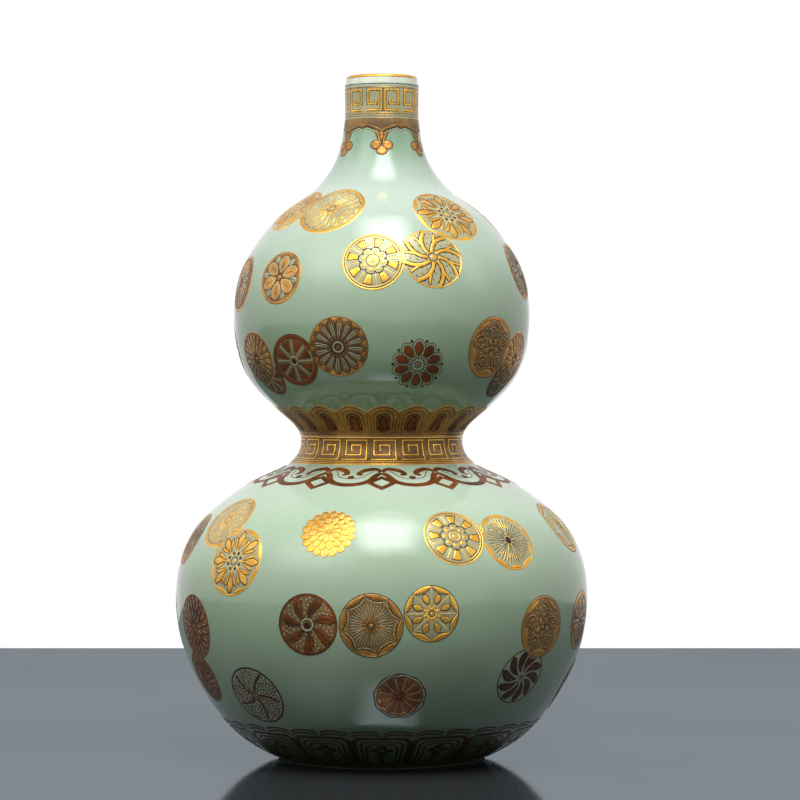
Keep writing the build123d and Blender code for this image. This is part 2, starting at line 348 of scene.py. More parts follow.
def scroll_path(radius: float, size: float, count: int, first: float, turns: float, hand: int) -> Grid:
    """Spirals round points at a radius from the middle, which shrink steadily to a fifth as they wind in."""
    share = np.linspace(0.0, 1.0, 22)
    reach = size * (1.0 - 0.8 * share)
    at = around(count, first)
    return polar(radius, at) + polar(reach, at + hand * 360.0 * turns * share)


def ground(radius: float = 0.97, ink: Ink = THIN) -> Mark:
    """The thin wash under a design."""
    turn = full_turn(64)
    shares = np.array([1.0, 0.97, 0.8, 0.6, 0.4, 0.2, 0.0])
    flat = polar(radius * shares[None, :], turn[:, None])
    rises = [SINK] + [WASH_RISE] * (len(shares) - 1)
    return Mark(raised(flat, rises)[None], ink, closed=True, pole=True)


class RoundelBook:
    """Draws each flower design on a disc of radius one."""

    def draw(self, design: Design) -> Marks:
        """The marks of a design."""
        return getattr(self, design.value)()

    def outlined(self, outline: Grid, width: float = 0.035, rise: float = FILL_RISE) -> Marks:
        """Filled patches with a line round each."""
        return [fill(outline, MAIN, rise),
                stroke(outline, width, LINE, closed=True, rise=rise + 0.03)]

    def hub(self, size: float, petals: int = 0, rise: float = LINE_RISE) -> Marks:
        """A boss with a line round it, and round that a ring of dabs."""
        marks = [dots(0.0, size * 0.55, MAIN, 1, rise=rise + 0.02),
                 ring(size, size * 0.3, LINE, rise=rise)]
        return marks + ([dots(size * 1.65, size * 0.42, MAIN, petals, rise=rise)] if petals else [])

    def rim_arcs(self, count: int, first: float, depth: float) -> Marks:
        """Filled arcs along the rim, each with a dark and a pale bow under it."""
        share = np.linspace(0.0, 1.0, 11)
        turn = around(count, first) + (share - 0.5) * 352.0 / count
        dip = depth * np.sin(np.pi * share) ** 0.7
        return [
            lenses(0.97, depth, MAIN, count, first),
            stroke(polar(0.935 - dip, turn), 0.035, LINE, rise=LINE_RISE + 0.02),
            stroke(polar(0.885 - dip, turn), 0.035, BARE),
        ]

    def golden_mum(self) -> Marks:
        """A broad gold rim with lace inside it, round a full chrysanthemum."""
        return [
            ground(),
            ring(0.945, 0.11, MAIN),
            scallops(0.87, 0.07, 0.04, LINE, 18),
            stroke(petal_outline(0.46, 0.83, 0.075, 18, 10.0, 1.4), 0.042, MAIN, closed=True, rise=0.07),
            fill(petal_outline(0.18, 0.68, 0.095, 14, blunt=1.6), BARE, 0.08),
            stroke(petal_outline(0.18, 0.68, 0.085, 14, blunt=1.6), 0.038, MAIN, closed=True, rise=0.12),
            rays(0.26, 0.60, 0.026, LINE, 14, rise=0.13),
            *self.hub(0.13, 6, 0.14),
        ]

    def leaf_wreath(self) -> Marks:
        """Eight veined leaves with smaller ones between them, in a thin rim."""
        return [
            ground(0.95),
            ring(0.965, 0.055, MAIN),
            lenses(0.945, 0.075, MAIN, 8, 22.5, 0.7),
            *self.outlined(petal_outline(0.36, 0.91, 0.115, 8, blunt=1.35)),
            *self.outlined(petal_outline(0.34, 0.76, 0.062, 8, 6.0, 1.3, 12.0), 0.025, 0.07),
            *self.outlined(petal_outline(0.34, 0.76, 0.062, 8, -6.0, 1.3, -12.0), 0.025, 0.07),
            rays(0.16, 0.50, 0.060, MAIN, 8, rise=0.12),
            rays(0.44, 0.80, 0.028, BARE, 8, rise=0.14),
            dots(0.24, 0.05, LINE, 8, 22.5),
            *self.hub(0.12),
        ]

    def wedge_wheel(self) -> Marks:
        """Gold wedges and paired spokes round a rosette, in a bright double rim."""
        return [
            ground(0.95),
            ring(0.965, 0.060, MAIN),
            ring(0.915, 0.025, LINE),
            ring(0.875, 0.030, MAIN),
            *self.outlined(wedge_outline(0.50, 0.82, 8.0, 8, 0.0, 3.0)),
            rays(0.46, 0.86, 0.045, BARE, 8, 16.5),
            rays(0.46, 0.86, 0.045, BARE, 8, 28.5),
            rays(0.46, 0.86, 0.045, MAIN, 8, 22.5),
            scallops(0.47, 0.07, 0.04, LINE, 8, 22.5),
            dots(0.32, 0.075, MAIN, 8),
            dots(0.39, 0.035, LINE, 8, 22.5),
            ring(0.215, 0.03, LINE),
            ring(0.17, 0.05, MAIN),
            dots(0.0, 0.08, MAIN, 1),
        ]

    def whiplash(self) -> Marks:
        """Forked arms that whip round from the middle to a thin rim, over worm lines."""
        return [
            ground(0.95),
            ring(0.96, 0.05, MAIN),
            worms(0.22, 0.92, BARE, 110, 0.045, 0.034),
            worms(0.30, 0.90, LINE, 64, 0.035, 0.026),
            rays(0.14, 0.95, 0.20, LINE, 8, 0.0, 40.0, 1.25, 14, 0.12),
            rays(0.14, 0.94, 0.15, MAIN, 8, 0.0, 40.0, 1.25, 14, 0.15),
            rays(0.46, 0.93, 0.17, LINE, 8, 14.0, 0.0, 0.8, 8, 0.11),
            rays(0.46, 0.92, 0.12, MAIN, 8, 14.0, 0.0, 0.8, 8, 0.14),
            *self.hub(0.14, 0, 0.17),
        ]

    def six_petals(self) -> Marks:
        """Six broad petals with pale edges that fill a gold disc."""
        return [
            ground(),
            ring(0.935, 0.12, MAIN),
            *self.outlined(petal_outline(0.12, 0.88, 0.27, 6, blunt=1.5), 0.03),
            stroke(petal_outline(0.20, 0.80, 0.19, 6, blunt=1.5), 0.05, BARE, closed=True, rise=0.14),
            rays(0.26, 0.66, 0.035, LINE, 6, rise=0.14),
            fill(petal_outline(0.44, 0.88, 0.11, 6, 30.0, 1.2), BARE, 0.06),
            rays(0.40, 0.86, 0.035, LINE, 6, 30.0),
            *self.hub(0.13, 0, 0.14),
        ]

    def daisy(self) -> Marks:
        """Sixteen pointed petals with three veins each, and gold triangles between them at a thin rim."""
        return [
            ground(0.98),
            ring(0.965, 0.055, MAIN),
            ring(0.992, 0.020, LINE),
            fill(wedge_outline(0.79, 0.94, 0.8, 16, 11.25, 6.0), MAIN),
            stroke(petal_outline(0.18, 0.94, 0.150, 16, blunt=1.5, tip=0.8), 0.032, LINE, closed=True),
            rays(0.34, 0.84, 0.034, BARE, 16, 3.4, -1.2),
            rays(0.34, 0.84, 0.034, BARE, 16, -3.4, 1.2),
            rays(0.30, 0.90, 0.030, LINE, 16, rise=0.11),
            ring(0.22, 0.045, LINE, rise=0.12),
            ring(0.165, 0.06, BARE, rise=0.12),
            ring(0.10, 0.05, LINE, rise=0.12),
        ]

    def spoke_wheel(self) -> Marks:
        """Eight pale spokes between filled panels, in a heavy rim with darker arcs."""
        return [
            ground(),
            ring(0.90, 0.19, MAIN),
            ring(0.988, 0.024, LINE),
            lenses(0.96, 0.09, LINE, 8, 22.5, 0.62),
            *self.outlined(wedge_outline(0.38, 0.76, 6.0, 8, 22.5, 6.0)),
            rays(0.18, 0.82, 0.090, BARE, 8, rise=0.11),
            rays(0.20, 0.80, 0.026, LINE, 8, rise=0.14),
            dots(0.30, 0.045, MAIN, 8, 22.5),
            ring(0.16, 0.06, BARE, rise=0.15),
            dots(0.0, 0.10, LINE, 1, rise=0.14),
        ]

    def dense_mum(self) -> Marks:
        """Close rows of narrow petals from the middle to the rim."""
        return [
            ground(),
            ring(0.955, 0.075, MAIN),
            *self.outlined(petal_outline(0.30, 0.93, 0.10, 20, 9.0, 1.6), 0.025),
            rays(0.55, 0.86, 0.030, BARE, 20, 9.0, rise=0.14),
            *self.outlined(petal_outline(0.12, 0.60, 0.10, 13, 0.0, 1.6), 0.025, 0.12),
            rays(0.26, 0.52, 0.030, BARE, 13, rise=0.17),
            *self.hub(0.13, 0, 0.16),
        ]

    def oval_petals(self) -> Marks:
        """Dark oval petals with broad pale edges round a hub, dabs between their tips and no rim."""
        return [
            fill(petal_outline(0.20, 0.98, 0.255, 10, blunt=1.5), BARE, 0.05),
            stroke(petal_outline(0.20, 0.98, 0.255, 10, blunt=1.5), 0.030, LINE, closed=True),
            *self.outlined(petal_outline(0.34, 0.89, 0.170, 10, blunt=1.35), 0.03),
            dots(0.93, 0.060, LINE, 10, 18.0),
            rays(0.20, 0.36, 0.045, LINE, 10, taper=0.6),
            ring(0.19, 0.07, BARE, rise=0.12),
            *self.hub(0.12, 0, 0.12),
        ]

    def scrolls(self) -> Marks:
        """Scrolls that wind in by turns over worm lines, inside a filled rim."""
        return [
            ground(),
            ring(0.935, 0.12, MAIN),
            ring(0.988, 0.024, LINE),
            worms(0.10, 0.86, BARE, 90, 0.04, 0.032),
            stroke(scroll_path(0.55, 0.26, 5, 0.0, 1.4, 1), 0.13, LINE, rise=0.11),
            stroke(scroll_path(0.55, 0.26, 5, 0.0, 1.4, 1), 0.08, MAIN, rise=0.14),
            lenses(0.89, 0.17, MAIN, 5, 36.0, 0.55),
            *self.outlined(petal_outline(0.10, 0.36, 0.08, 5, 36.0), 0.025),
            *self.hub(0.10, 0, 0.14),
        ]

    def layered_mum(self) -> Marks:
        """Three rings of notched petals, one over another, with no rim."""
        return [
            *self.outlined(petal_outline(0.34, 0.99, 0.155, 18, blunt=2.0), 0.030, 0.05),
            rays(0.62, 0.93, 0.055, BARE, 18, rise=0.09),
            *self.outlined(petal_outline(0.20, 0.74, 0.145, 14, 12.0, 2.0), 0.030, 0.10),
            rays(0.40, 0.68, 0.055, BARE, 14, 12.0, rise=0.14),
            *self.outlined(petal_outline(0.06, 0.46, 0.115, 10, 5.0, 1.9), 0.028, 0.15),
            rays(0.16, 0.41, 0.045, BARE, 10, 5.0, rise=0.19),
            *self.hub(0.09, 0, 0.19),
        ]

    def stamens(self) -> Marks:
        """Close fine stamens outward from a soft middle, inside a gold rim with arcs."""
        return [
            ground(0.95, BARE),
            ring(0.96, 0.06, MAIN),
            lenses(0.935, 0.10, MAIN, 10, 0.0, 0.9),
            rays(0.08, 0.84, 0.026, LINE, 40, 0.0, 4.0),
            rays(0.40, 0.86, 0.024, MAIN, 40, 4.5, 3.0),
            dots(0.62, 0.040, MAIN, 13, 4.0, 0.12),
            rays(0.10, 0.46, 0.045, MAIN, 9, 0.0, 6.0, 0.5, rise=0.12),
            dots(0.0, 0.13, LINE, 1, rise=0.14),
        ]

    def curved_spokes(self) -> Marks:
        """Seven swelling arms that lean as they go out, over worm lines, round a pale ring."""
        return [
            ground(),
            ring(0.945, 0.10, MAIN),
            ring(0.988, 0.024, LINE),
            worms(0.26, 0.90, BARE, 120, 0.042, 0.034),
            *self.outlined(petal_outline(0.16, 0.96, 0.155, 7, 10.0, 1.9, 20.0), 0.035, 0.11),
            rays(0.26, 0.88, 0.060, LINE, 7, 13.0, 15.0, rise=0.16),
            ring(0.19, 0.07, BARE, rise=0.16),
            ring(0.245, 0.025, LINE, rise=0.17),
            dots(0.0, 0.115, LINE, 1, rise=0.16),
        ]

    def arc_fan(self) -> Marks:
        """Filled arcs along the rim round a fan of fine lines and a many-rayed star."""
        return [
            ground(),
            ring(0.985, 0.03, LINE),
            *self.rim_arcs(8, 10.0, 0.17),
            rays(0.24, 0.70, 0.028, BARE, 40),
            rays(0.10, 0.58, 0.085, MAIN, 12, 4.0, 8.0, 0.35, rise=0.12),
            rays(0.12, 0.40, 0.025, LINE, 12, 4.0, 5.0, 0.5, rise=0.15),
            dots(0.745, 0.026, MAIN, 32),
            *self.hub(0.11, 0, 0.15),
        ]

    def star_drops(self) -> Marks:
        """Filled arcs along the rim, paired lines like a star and a leaf drop in each bay."""
        return [
            ground(),
            ring(0.985, 0.03, LINE),
            *self.rim_arcs(8, 22.5, 0.18),
            rays(0.18, 0.94, 0.085, BARE, 8, rise=0.09),
            rays(0.18, 0.94, 0.034, MAIN, 8, rise=0.13),
            *self.outlined(petal_outline(0.34, 0.73, 0.115, 8, 22.5, 1.35), 0.04),
            fill(petal_outline(0.12, 0.34, 0.06, 8, 22.5), MAIN),
            *self.hub(0.10, 8, 0.12),
        ]

    def veined(self) -> Marks:
        """Worm lines all over, parted by five bent veins in a plain dark rim."""
        return [
            ground(0.97, BARE),
            ring(0.955, 0.08, LINE),
            worms(0.08, 0.90, LINE, 230, 0.045, 0.048),
            rays(0.06, 0.93, 0.080, LINE, 5, 10.0, 24.0, 1.5, rise=0.12),
            stroke(petal_outline(0.14, 0.90, 0.20, 5, 52.0, 1.4, 14.0), 0.035, MAIN, closed=True,
                   rise=0.12),
            *self.hub(0.10, 0, 0.14),
        ]

    def double_wave(self) -> Marks:
        """Two dark wavy lines with a pale one between them, round twelve broad dark petals."""
        return [
            ground(0.95),
            ring(0.965, 0.050, LINE, 9, 0.020),
            ring(0.905, 0.045, BARE, 9, 0.016, 12.0),
            ring(0.845, 0.045, LINE, 9, 0.016, 20.0),
            *self.outlined(petal_outline(0.05, 0.80, 0.185, 12, blunt=2.1), 0.030),
            rays(0.20, 0.78, 0.040, BARE, 12, 15.0, 0.0, 1.4, rise=0.13),
            rays(0.22, 0.66, 0.026, LINE, 12, rise=0.14),
            *self.hub(0.09, 0, 0.15),
        ]

    def pinwheel(self) -> Marks:
        """Ten curved vanes that fill the disc, with thin pale gaps between them."""
        return [
            ground(0.95, BARE),
            ring(0.965, 0.05, LINE),
            fill(petal_outline(0.12, 0.96, 0.190, 10, 0.0, 2.1, 34.0), LINE),
            rays(0.30, 0.84, 0.030, MAIN, 10, 5.0, 28.0, 1.3, rise=0.12),
            ring(0.14, 0.05, BARE, rise=0.14),
            *self.hub(0.09, 0, 0.14),
        ]


# The pot

def cubic_through(knots: Grid, values: Grid, at: Grid) -> Grid:
    """Cubics through values at knots, joined so that slope and bend agree, with no bend at either end.

    The bends M at the knots solve h0 M0 + 2 (h0 + h1) M1 + h1 M2 = 6 (slope1 - slope0), and between two
    knots the value is the one that has bend M at both of them.

    Args:
        knots: rising positions, one for each value.
        values: knots by coordinates.
        at: the positions to work out.

    Returns:
        Positions by coordinates.
    """
    step = np.diff(knots)
    inner = np.arange(1, len(knots) - 1)
    system = np.eye(len(knots))
    system[inner, inner - 1] = step[:-1]
    system[inner, inner] = 2 * (step[:-1] + step[1:])
    system[inner, inner + 1] = step[1:]
    slope = np.diff(values, axis=0) / step[:, None]
    target = np.zeros_like(values)
    target[1:-1] = 6 * np.diff(slope, axis=0)
    bend = np.linalg.solve(system, target)
    cell = np.clip(np.searchsorted(knots, at) - 1, 0, len(step) - 1)
    width = step[cell][:, None]
    since, until = (at - knots[cell])[:, None], (knots[cell + 1] - at)[:, None]
    return (
        (bend[cell] * until**3 + bend[cell + 1] * since**3) / (6 * width)
        + (values[cell] / width - bend[cell] * width / 6) * until
        + (values[cell + 1] / width - bend[cell + 1] * width / 6) * since
    )


class SmoothLine:
    """A smooth line through stations in the turning plane, sampled against the distance along it."""

    samples = 6001

    def __init__(self, stations: Sequence[Pair]) -> None:
        """Args: stations are (radius, level) pairs, which cubics of the running chord length go through."""
        values = np.array(stations, float)
        knots = np.concatenate([[0.0], np.cumsum(np.linalg.norm(np.diff(values, axis=0), axis=1))])
        points = cubic_through(knots, values, np.linspace(0.0, knots[-1], self.samples))
        self.run = np.concatenate([[0.0], np.cumsum(np.linalg.norm(np.diff(points, axis=0), axis=1))])
        self.radius, self.level = points.T
        self.lean, self.climb = unit(np.gradient(points, self.run, axis=0)).T

    def frame_at(self, run: Grid | float) -> Grid:
        """Radius, level, lean and climb at distances along the line."""
        columns = (self.radius, self.level, self.lean, self.climb)
        return np.stack([np.interp(run, self.run, column) for column in columns])

    def direction_at(self, level: float) -> Grid:
        """The lean and the climb at a level."""
        return self.frame_at(self.run_at(level))[2:]

    def run_at(self, level: float) -> float:
        """The distance along the line at which it reaches a level."""
        return float(np.interp(level, self.level, self.run))

    def run_between(self, low: float, high: float) -> float:
        """The distance along the line from one level to another."""
        return self.run_at(high) - self.run_at(low)

    def radius_at(self, level: Grid | float) -> Grid:
        """The radius at a level."""
        return np.interp(level, self.level, self.radius)


@dataclass(frozen=True)
class PotShape:
    """The sizes of the thrown pot, the same as in the CAD source."""

    belly: Pair = (96.5, 74.0)
    waist: Pair = (37.75, 148.0)
    crown: Pair = (69.4, 206.0)
    neck: Pair = (17.1, 306.0)
    foot: Pair = (48.9, 1.1)
    foot_to_belly: Shares = ((0.03, 0.10), (0.15, 0.388), (0.40, 0.706), (0.70, 0.925))
    belly_to_waist: Shares = (
        (0.25, 0.034), (0.50, 0.198), (0.66, 0.426), (0.80, 0.728), (0.87, 0.905), (0.935, 0.978),
    )
    waist_to_crown: Shares = ((0.10, 0.040), (0.20, 0.205), (0.35, 0.515), (0.52, 0.780), (0.74, 0.940))
    crown_to_neck: Shares = (
        (0.13, 0.018), (0.27, 0.103), (0.38, 0.240), (0.50, 0.450), (0.585, 0.675), (0.66, 0.815),
        (0.75, 0.918), (0.88, 0.984),
    )
    lip_radius: float = 17.35
    lip_level: float = 319.75
    lip_band_drop: float = 4.3
    crest_rise: float = 1.2
    bevel_inset: float = 0.75
    crest_inset: float = 0.4
    mouth_radius: float = 13.6
    mouth_flare_drop: float = 1.6
    bore_length: float = 30.0
    foot_inner_radius: float = 43.6
    foot_outer_radius: float = 47.8
    recess_radius: float = 42.0
    base_recess: float = 5.5
    floor_level: float = 12.0
    floor_radius: float = 30.0
    floor_to_wall: Shares = ((0.03, 0.35), (0.25, 0.70))
    wall_to_bore: Shares = ((0.45, 0.62), (0.78, 0.93))
    wall_low: float = 4.8
    wall_high: float = 3.6
    wall_shares: Pair = (0.09, 0.88)
    wall_stations: int = 22

    def between(self, low: Pair, high: Pair, shares: Shares) -> list[Pair]:
        """Stations between two landmarks, each a share of the level step and of the radius step."""
        across, up = high[0] - low[0], high[1] - low[1]
        return [(low[0] + across * radius, low[1] + up * level) for level, radius in shares]

    def crest(self) -> tuple[Grid, float, float]:
        """The arc over the lip, from its width and its rise: its middle, its radius and half its angle."""
        outer, inner = self.lip_radius - self.bevel_inset, self.mouth_radius + self.crest_inset
        reach = (outer - inner) / 2
        radius = (reach**2 + self.crest_rise**2) / (2 * self.crest_rise)
        middle = np.array([(outer + inner) / 2, self.lip_level - radius])
        return middle, radius, math.asin(reach / radius)

    def outside(self) -> SmoothLine:
        """The outside of the wall from the foot to the lip."""
        stations = [
            self.foot, *self.between(self.foot, self.belly, self.foot_to_belly),
            self.belly, *self.between(self.belly, self.waist, self.belly_to_waist),
            self.waist, *self.between(self.waist, self.crown, self.waist_to_crown),
            self.crown, *self.between(self.crown, self.neck, self.crown_to_neck),
            self.neck, (self.lip_radius, self.lip_level - self.lip_band_drop),
        ]
        return SmoothLine(stations)

    def inside(self, outside: SmoothLine) -> SmoothLine:
        """The inside of the wall from the floor to the bore, square to the outside by the wall."""
        share = np.linspace(*self.wall_shares, self.wall_stations + 1)
        run = share * outside.run[-1]
        wall = self.wall_low + (self.wall_high - self.wall_low) * share
        radius, level, lean, climb = outside.frame_at(run)
        middle = np.stack([radius - climb * wall, level + lean * wall], axis=-1)
        floor = (self.floor_radius, self.floor_level)
        bore = (self.mouth_radius, self.lip_level - self.mouth_flare_drop - self.bore_length)
        low, high = tuple(middle[0]), tuple(middle[-1])
        stations = [
            floor, *self.between(floor, low, self.floor_to_wall), *map(tuple, middle),
            *self.between(high, bore, self.wall_to_bore), bore,
        ]
        return SmoothLine(stations)


class Wall:
    """Lays flat marks on the outside of the pot."""

    newton_steps = 7

    def __init__(self, outside: SmoothLine) -> None:
        """Args: outside is the line that the wall follows."""
        self.line = outside
        self.slope = outside.lean / np.maximum(outside.climb, 1e-3)

    def turned_round(self, azimuth: Grid, radius: Grid, level: Grid) -> Grid:
        """Points at an azimuth, a radius and a level, in millimetres."""
        return np.stack([radius * np.sin(azimuth), -radius * np.cos(azimuth), level], axis=-1)

    def wrap(self, azimuth: float, level: float, grid: Grid, count: int = 1,
             width: float = 0.0) -> tuple[Grid, Grid]:
        """Lays marks as a band: across goes round the wall where the band starts, and up goes along it.

        Args:
            azimuth: where the middle of the marks goes.
            level: the level of their foot.
            grid: the marks' points.
            count: how many cells make the full round, or 1 for marks that are already all round.
            width: the width of one cell, of which count go round.

        Returns:
            Points in millimetres and the wall's outward normals.
        """
        run = self.line.run_at(level) + grid[..., 1]
        radius, height, lean, climb = self.line.frame_at(run)
        full = count * width if width else 2 * np.pi * float(self.line.radius_at(level))
        turn = np.radians(azimuth) + grid[..., 0] * 2 * np.pi / full
        rise = grid[..., 2]
        points = self.turned_round(turn, radius + rise * climb, height - rise * lean)
        return points, self.turned_round(turn, climb, -lean)

    def stamp(self, azimuth: float, level: float, grid: Grid) -> tuple[Grid, Grid]:
        """Lays marks as a stamp: they go from the touching plane to the wall, square to the plane.

        Newton's steps find the distance at which the radius of a point is that of the wall at its level.

        Args:
            azimuth: where the middle of the marks goes.
            level: the level of their middle.
            grid: the marks' points.

        Returns:
            Points in millimetres and the wall's outward normals.
        """
        at = np.radians(azimuth)
        lean, climb = self.line.direction_at(level)
        middle = self.turned_round(at, self.line.radius_at(level), level)
        east = np.array([np.cos(at), np.sin(at), 0.0])
        up = self.turned_round(at, lean, climb)
        out = self.turned_round(at, climb, -lean)
        flat = middle + grid[..., :1] * east + grid[..., 1:2] * up
        depth = np.zeros(grid.shape[:-1])
        for _ in range(self.newton_steps):
            points = flat - depth[..., None] * out
            reach = np.hypot(points[..., 0], points[..., 1])
            lack = reach - self.line.radius_at(points[..., 2])
            steep = np.interp(points[..., 2], self.line.level, self.slope)
            gradient = np.stack([points[..., 0] / reach, points[..., 1] / reach, -steep], axis=-1)
            depth = depth + lack / (gradient @ out)
        normals = unit(gradient)
        return flat - depth[..., None] * out + normals * grid[..., 2:], normals


# Meshes

def mesh_object(name: str, points: Grid, faces: Sequence[Grid], slots: Sequence[Grid],
                materials: Sequence[Material], flat: Grid | None = None) -> bpy.types.Object:
    """A mesh object at the origin, riding on the pot.

    Args:
        name: the piece's name.
        points: places in millimetres, of which those that no face uses are left out.
        faces: arrays of faces by corners, one array for quads and one for triangles.
        slots: the material slot of each face, in the same arrays.
        materials: the material of each slot.
        flat: faces of the first array that aren't shaded smooth.

    Returns:
        The linked object.
    """
    mesh = bpy.data.meshes.new(name)
    used, corners = np.unique(np.concatenate([part.ravel() for part in faces]), return_inverse=True)
    sizes = np.concatenate([np.full(len(part), part.shape[1]) for part in faces])
    starts = np.concatenate([[0], np.cumsum(sizes)[:-1]]).astype(np.int32)
    mesh.vertices.add(len(used))
    mesh.vertices.foreach_set("co", (points[used] * METRES).astype(np.float32).ravel())
    mesh.loops.add(len(corners))
    mesh.loops.foreach_set("vertex_index", corners.astype(np.int32))
    mesh.polygons.add(len(starts))
    mesh.polygons.foreach_set("loop_start", starts)
    smooth = np.ones(len(starts), bool)
    if flat is not None:
        smooth[: len(faces[0])] = ~flat
    mesh.polygons.foreach_set("use_smooth", smooth)
    mesh.polygons.foreach_set("material_index", np.concatenate(slots).astype(np.int32))
    for material in materials:
        mesh.materials.append(material)
    mesh.update(calc_edges=True)
    mesh.validate()
    piece = bpy.data.objects.new(name, mesh)
    bpy.context.scene.collection.objects.link(piece)
    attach(piece, BODY)
    LOG.info("%s: %d faces", name, len(starts))
    return piece


def turned_piece(name: str, meridian: Grid, materials: Sequence[Material], slots: Grid | None = None,
                 flat: Grid | None = None, count: int = 256) -> bpy.types.Object:
    """A closed shell of revolution: each point of a closed meridian is carried round by equal turns.

    Args:
        name: the piece's name.
        meridian: (radius, level) of each point, anticlockwise, of which the last joins the first.
        materials: the material of each slot.
        slots: the material slot of each step of the meridian, or None for the first slot.
        flat: the steps that aren't shaded smooth, or None for none.
        count: how many turns.

    Returns:
        The linked object.
    """
    slots = np.zeros(len(meridian), int) if slots is None else slots
    flat = np.zeros(len(meridian), bool) if flat is None else flat
    turn = np.arange(count) * 2 * np.pi / count
    poles = meridian[:, 0] < ON_AXIS
    grid = np.stack([
        np.outer(meridian[:, 0], np.sin(turn)), -np.outer(meridian[:, 0], np.cos(turn)),
        np.repeat(meridian[:, 1:], count, axis=1),
    ], axis=-1)
    index = np.arange(len(meridian) * count).reshape(len(meridian), count)
    index[poles] = index[poles][:, :1]
    rows = np.arange(len(meridian))
    here, there = index[rows], index[(rows + 1) % len(meridian)]
    quads = np.stack([here, np.roll(here, -1, axis=1), np.roll(there, -1, axis=1), there], axis=-1)
    low, high = poles, np.roll(poles, -1)
    plain, lowest, highest = ~(low | high), low & ~high, high & ~low
    triangles = np.concatenate([quads[lowest][..., [0, 2, 3]], quads[highest][..., [0, 1, 2]]])
    faces = [quads[plain].reshape(-1, 4), triangles.reshape(-1, 3)]
    slot = [np.repeat(slots[plain], count), np.repeat(np.concatenate([slots[lowest], slots[highest]]), count)]
    return mesh_object(name, grid.reshape(-1, 3), faces, slot, materials, np.repeat(flat[plain], count))


class Relief:
    """Gathers the marks that are laid on the wall into one piece."""

    def __init__(self, name: str, tone: Tone) -> None:
        """Args: name is the piece's, and tone is what its marks are painted in unless lay says otherwise."""
        self.name = name
        self.tone = tone
        self.points: list[Grid] = []
        self.faces: tuple[list[Grid], list[Grid]] = ([], [np.zeros((0, 3), int)])
        self.coats: tuple[list[Grid], list[Grid]] = ([], [np.zeros(0, int)])
        self.count = 0

    def lay(self, marks: Iterable[Mark], place: Place, tone: Tone | None = None,
            clear: Callable[[Grid], Grid] | None = None) -> None:
        """Adds marks, and turns each face outward.

        Args:
            marks: what to lay.
            place: the way from the flat to the wall.
            tone: what they are painted in.
            clear: tells from the middles of faces which of them to keep.
        """
        for mark in marks:
            points, normals = place(mark.grid)
            copies, rows, columns = mark.grid.shape[:3]
            index = np.arange(copies * rows * columns).reshape(copies, rows, columns)
            if mark.pole:
                index[:, :, -1] = index[:, :1, -1]
            last = np.roll(index, -1, axis=1) if mark.closed else index[:, 1:]
            here = index if mark.closed else index[:, :-1]
            quads = np.stack([here[..., :-1], last[..., :-1], last[..., 1:], here[..., 1:]], axis=-1)
            flat_points, flat_normals = points.reshape(-1, 3), normals.reshape(-1, 3)
            faces = [quads[..., :-1, :] if mark.pole else quads]
            faces += [quads[..., -1, :3]] if mark.pole else []
            coat = (tone or self.tone).coat(mark.ink).value
            for part, into, coats in zip(faces, self.faces, self.coats):
                part = part.reshape(-1, part.shape[-1])
                corners = flat_points[part]
                facing = np.cross(corners[:, 1] - corners[:, 0], corners[:, 2] - corners[:, 0])
                inward = (facing * flat_normals[part[:, 0]]).sum(-1) < 0
                part[inward] = part[inward][:, ::-1]
                if clear is not None:
                    part = part[clear(corners.mean(axis=1))]
                into.append(part + self.count)
                coats.append(np.full(len(part), coat))
            self.points.append(flat_points)
            self.count += len(flat_points)

    def build(self, coats: dict[Coat, Material], *nodes: str) -> bpy.types.Object:
        """Makes the piece and lets it stand for its CAD nodes."""
        faces, slots = ([np.concatenate(part) for part in kinds] for kinds in (self.faces, self.coats))
        piece = mesh_object(self.name, np.concatenate(self.points), faces, slots, [coats[c] for c in Coat])
        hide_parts(*nodes)
        return piece


# Finishes

def linear(red: float, green: float, blue: float) -> tuple[float, float, float, float]:
    """A colour written in display steps of 0 to 255, as scene light."""
    steps = np.array([red, green, blue]) / 255.0
    light = np.where(steps <= 0.04045, steps / 12.92, ((steps + 0.055) / 1.055) ** 2.4)
    return (*map(float, light), 1.0)


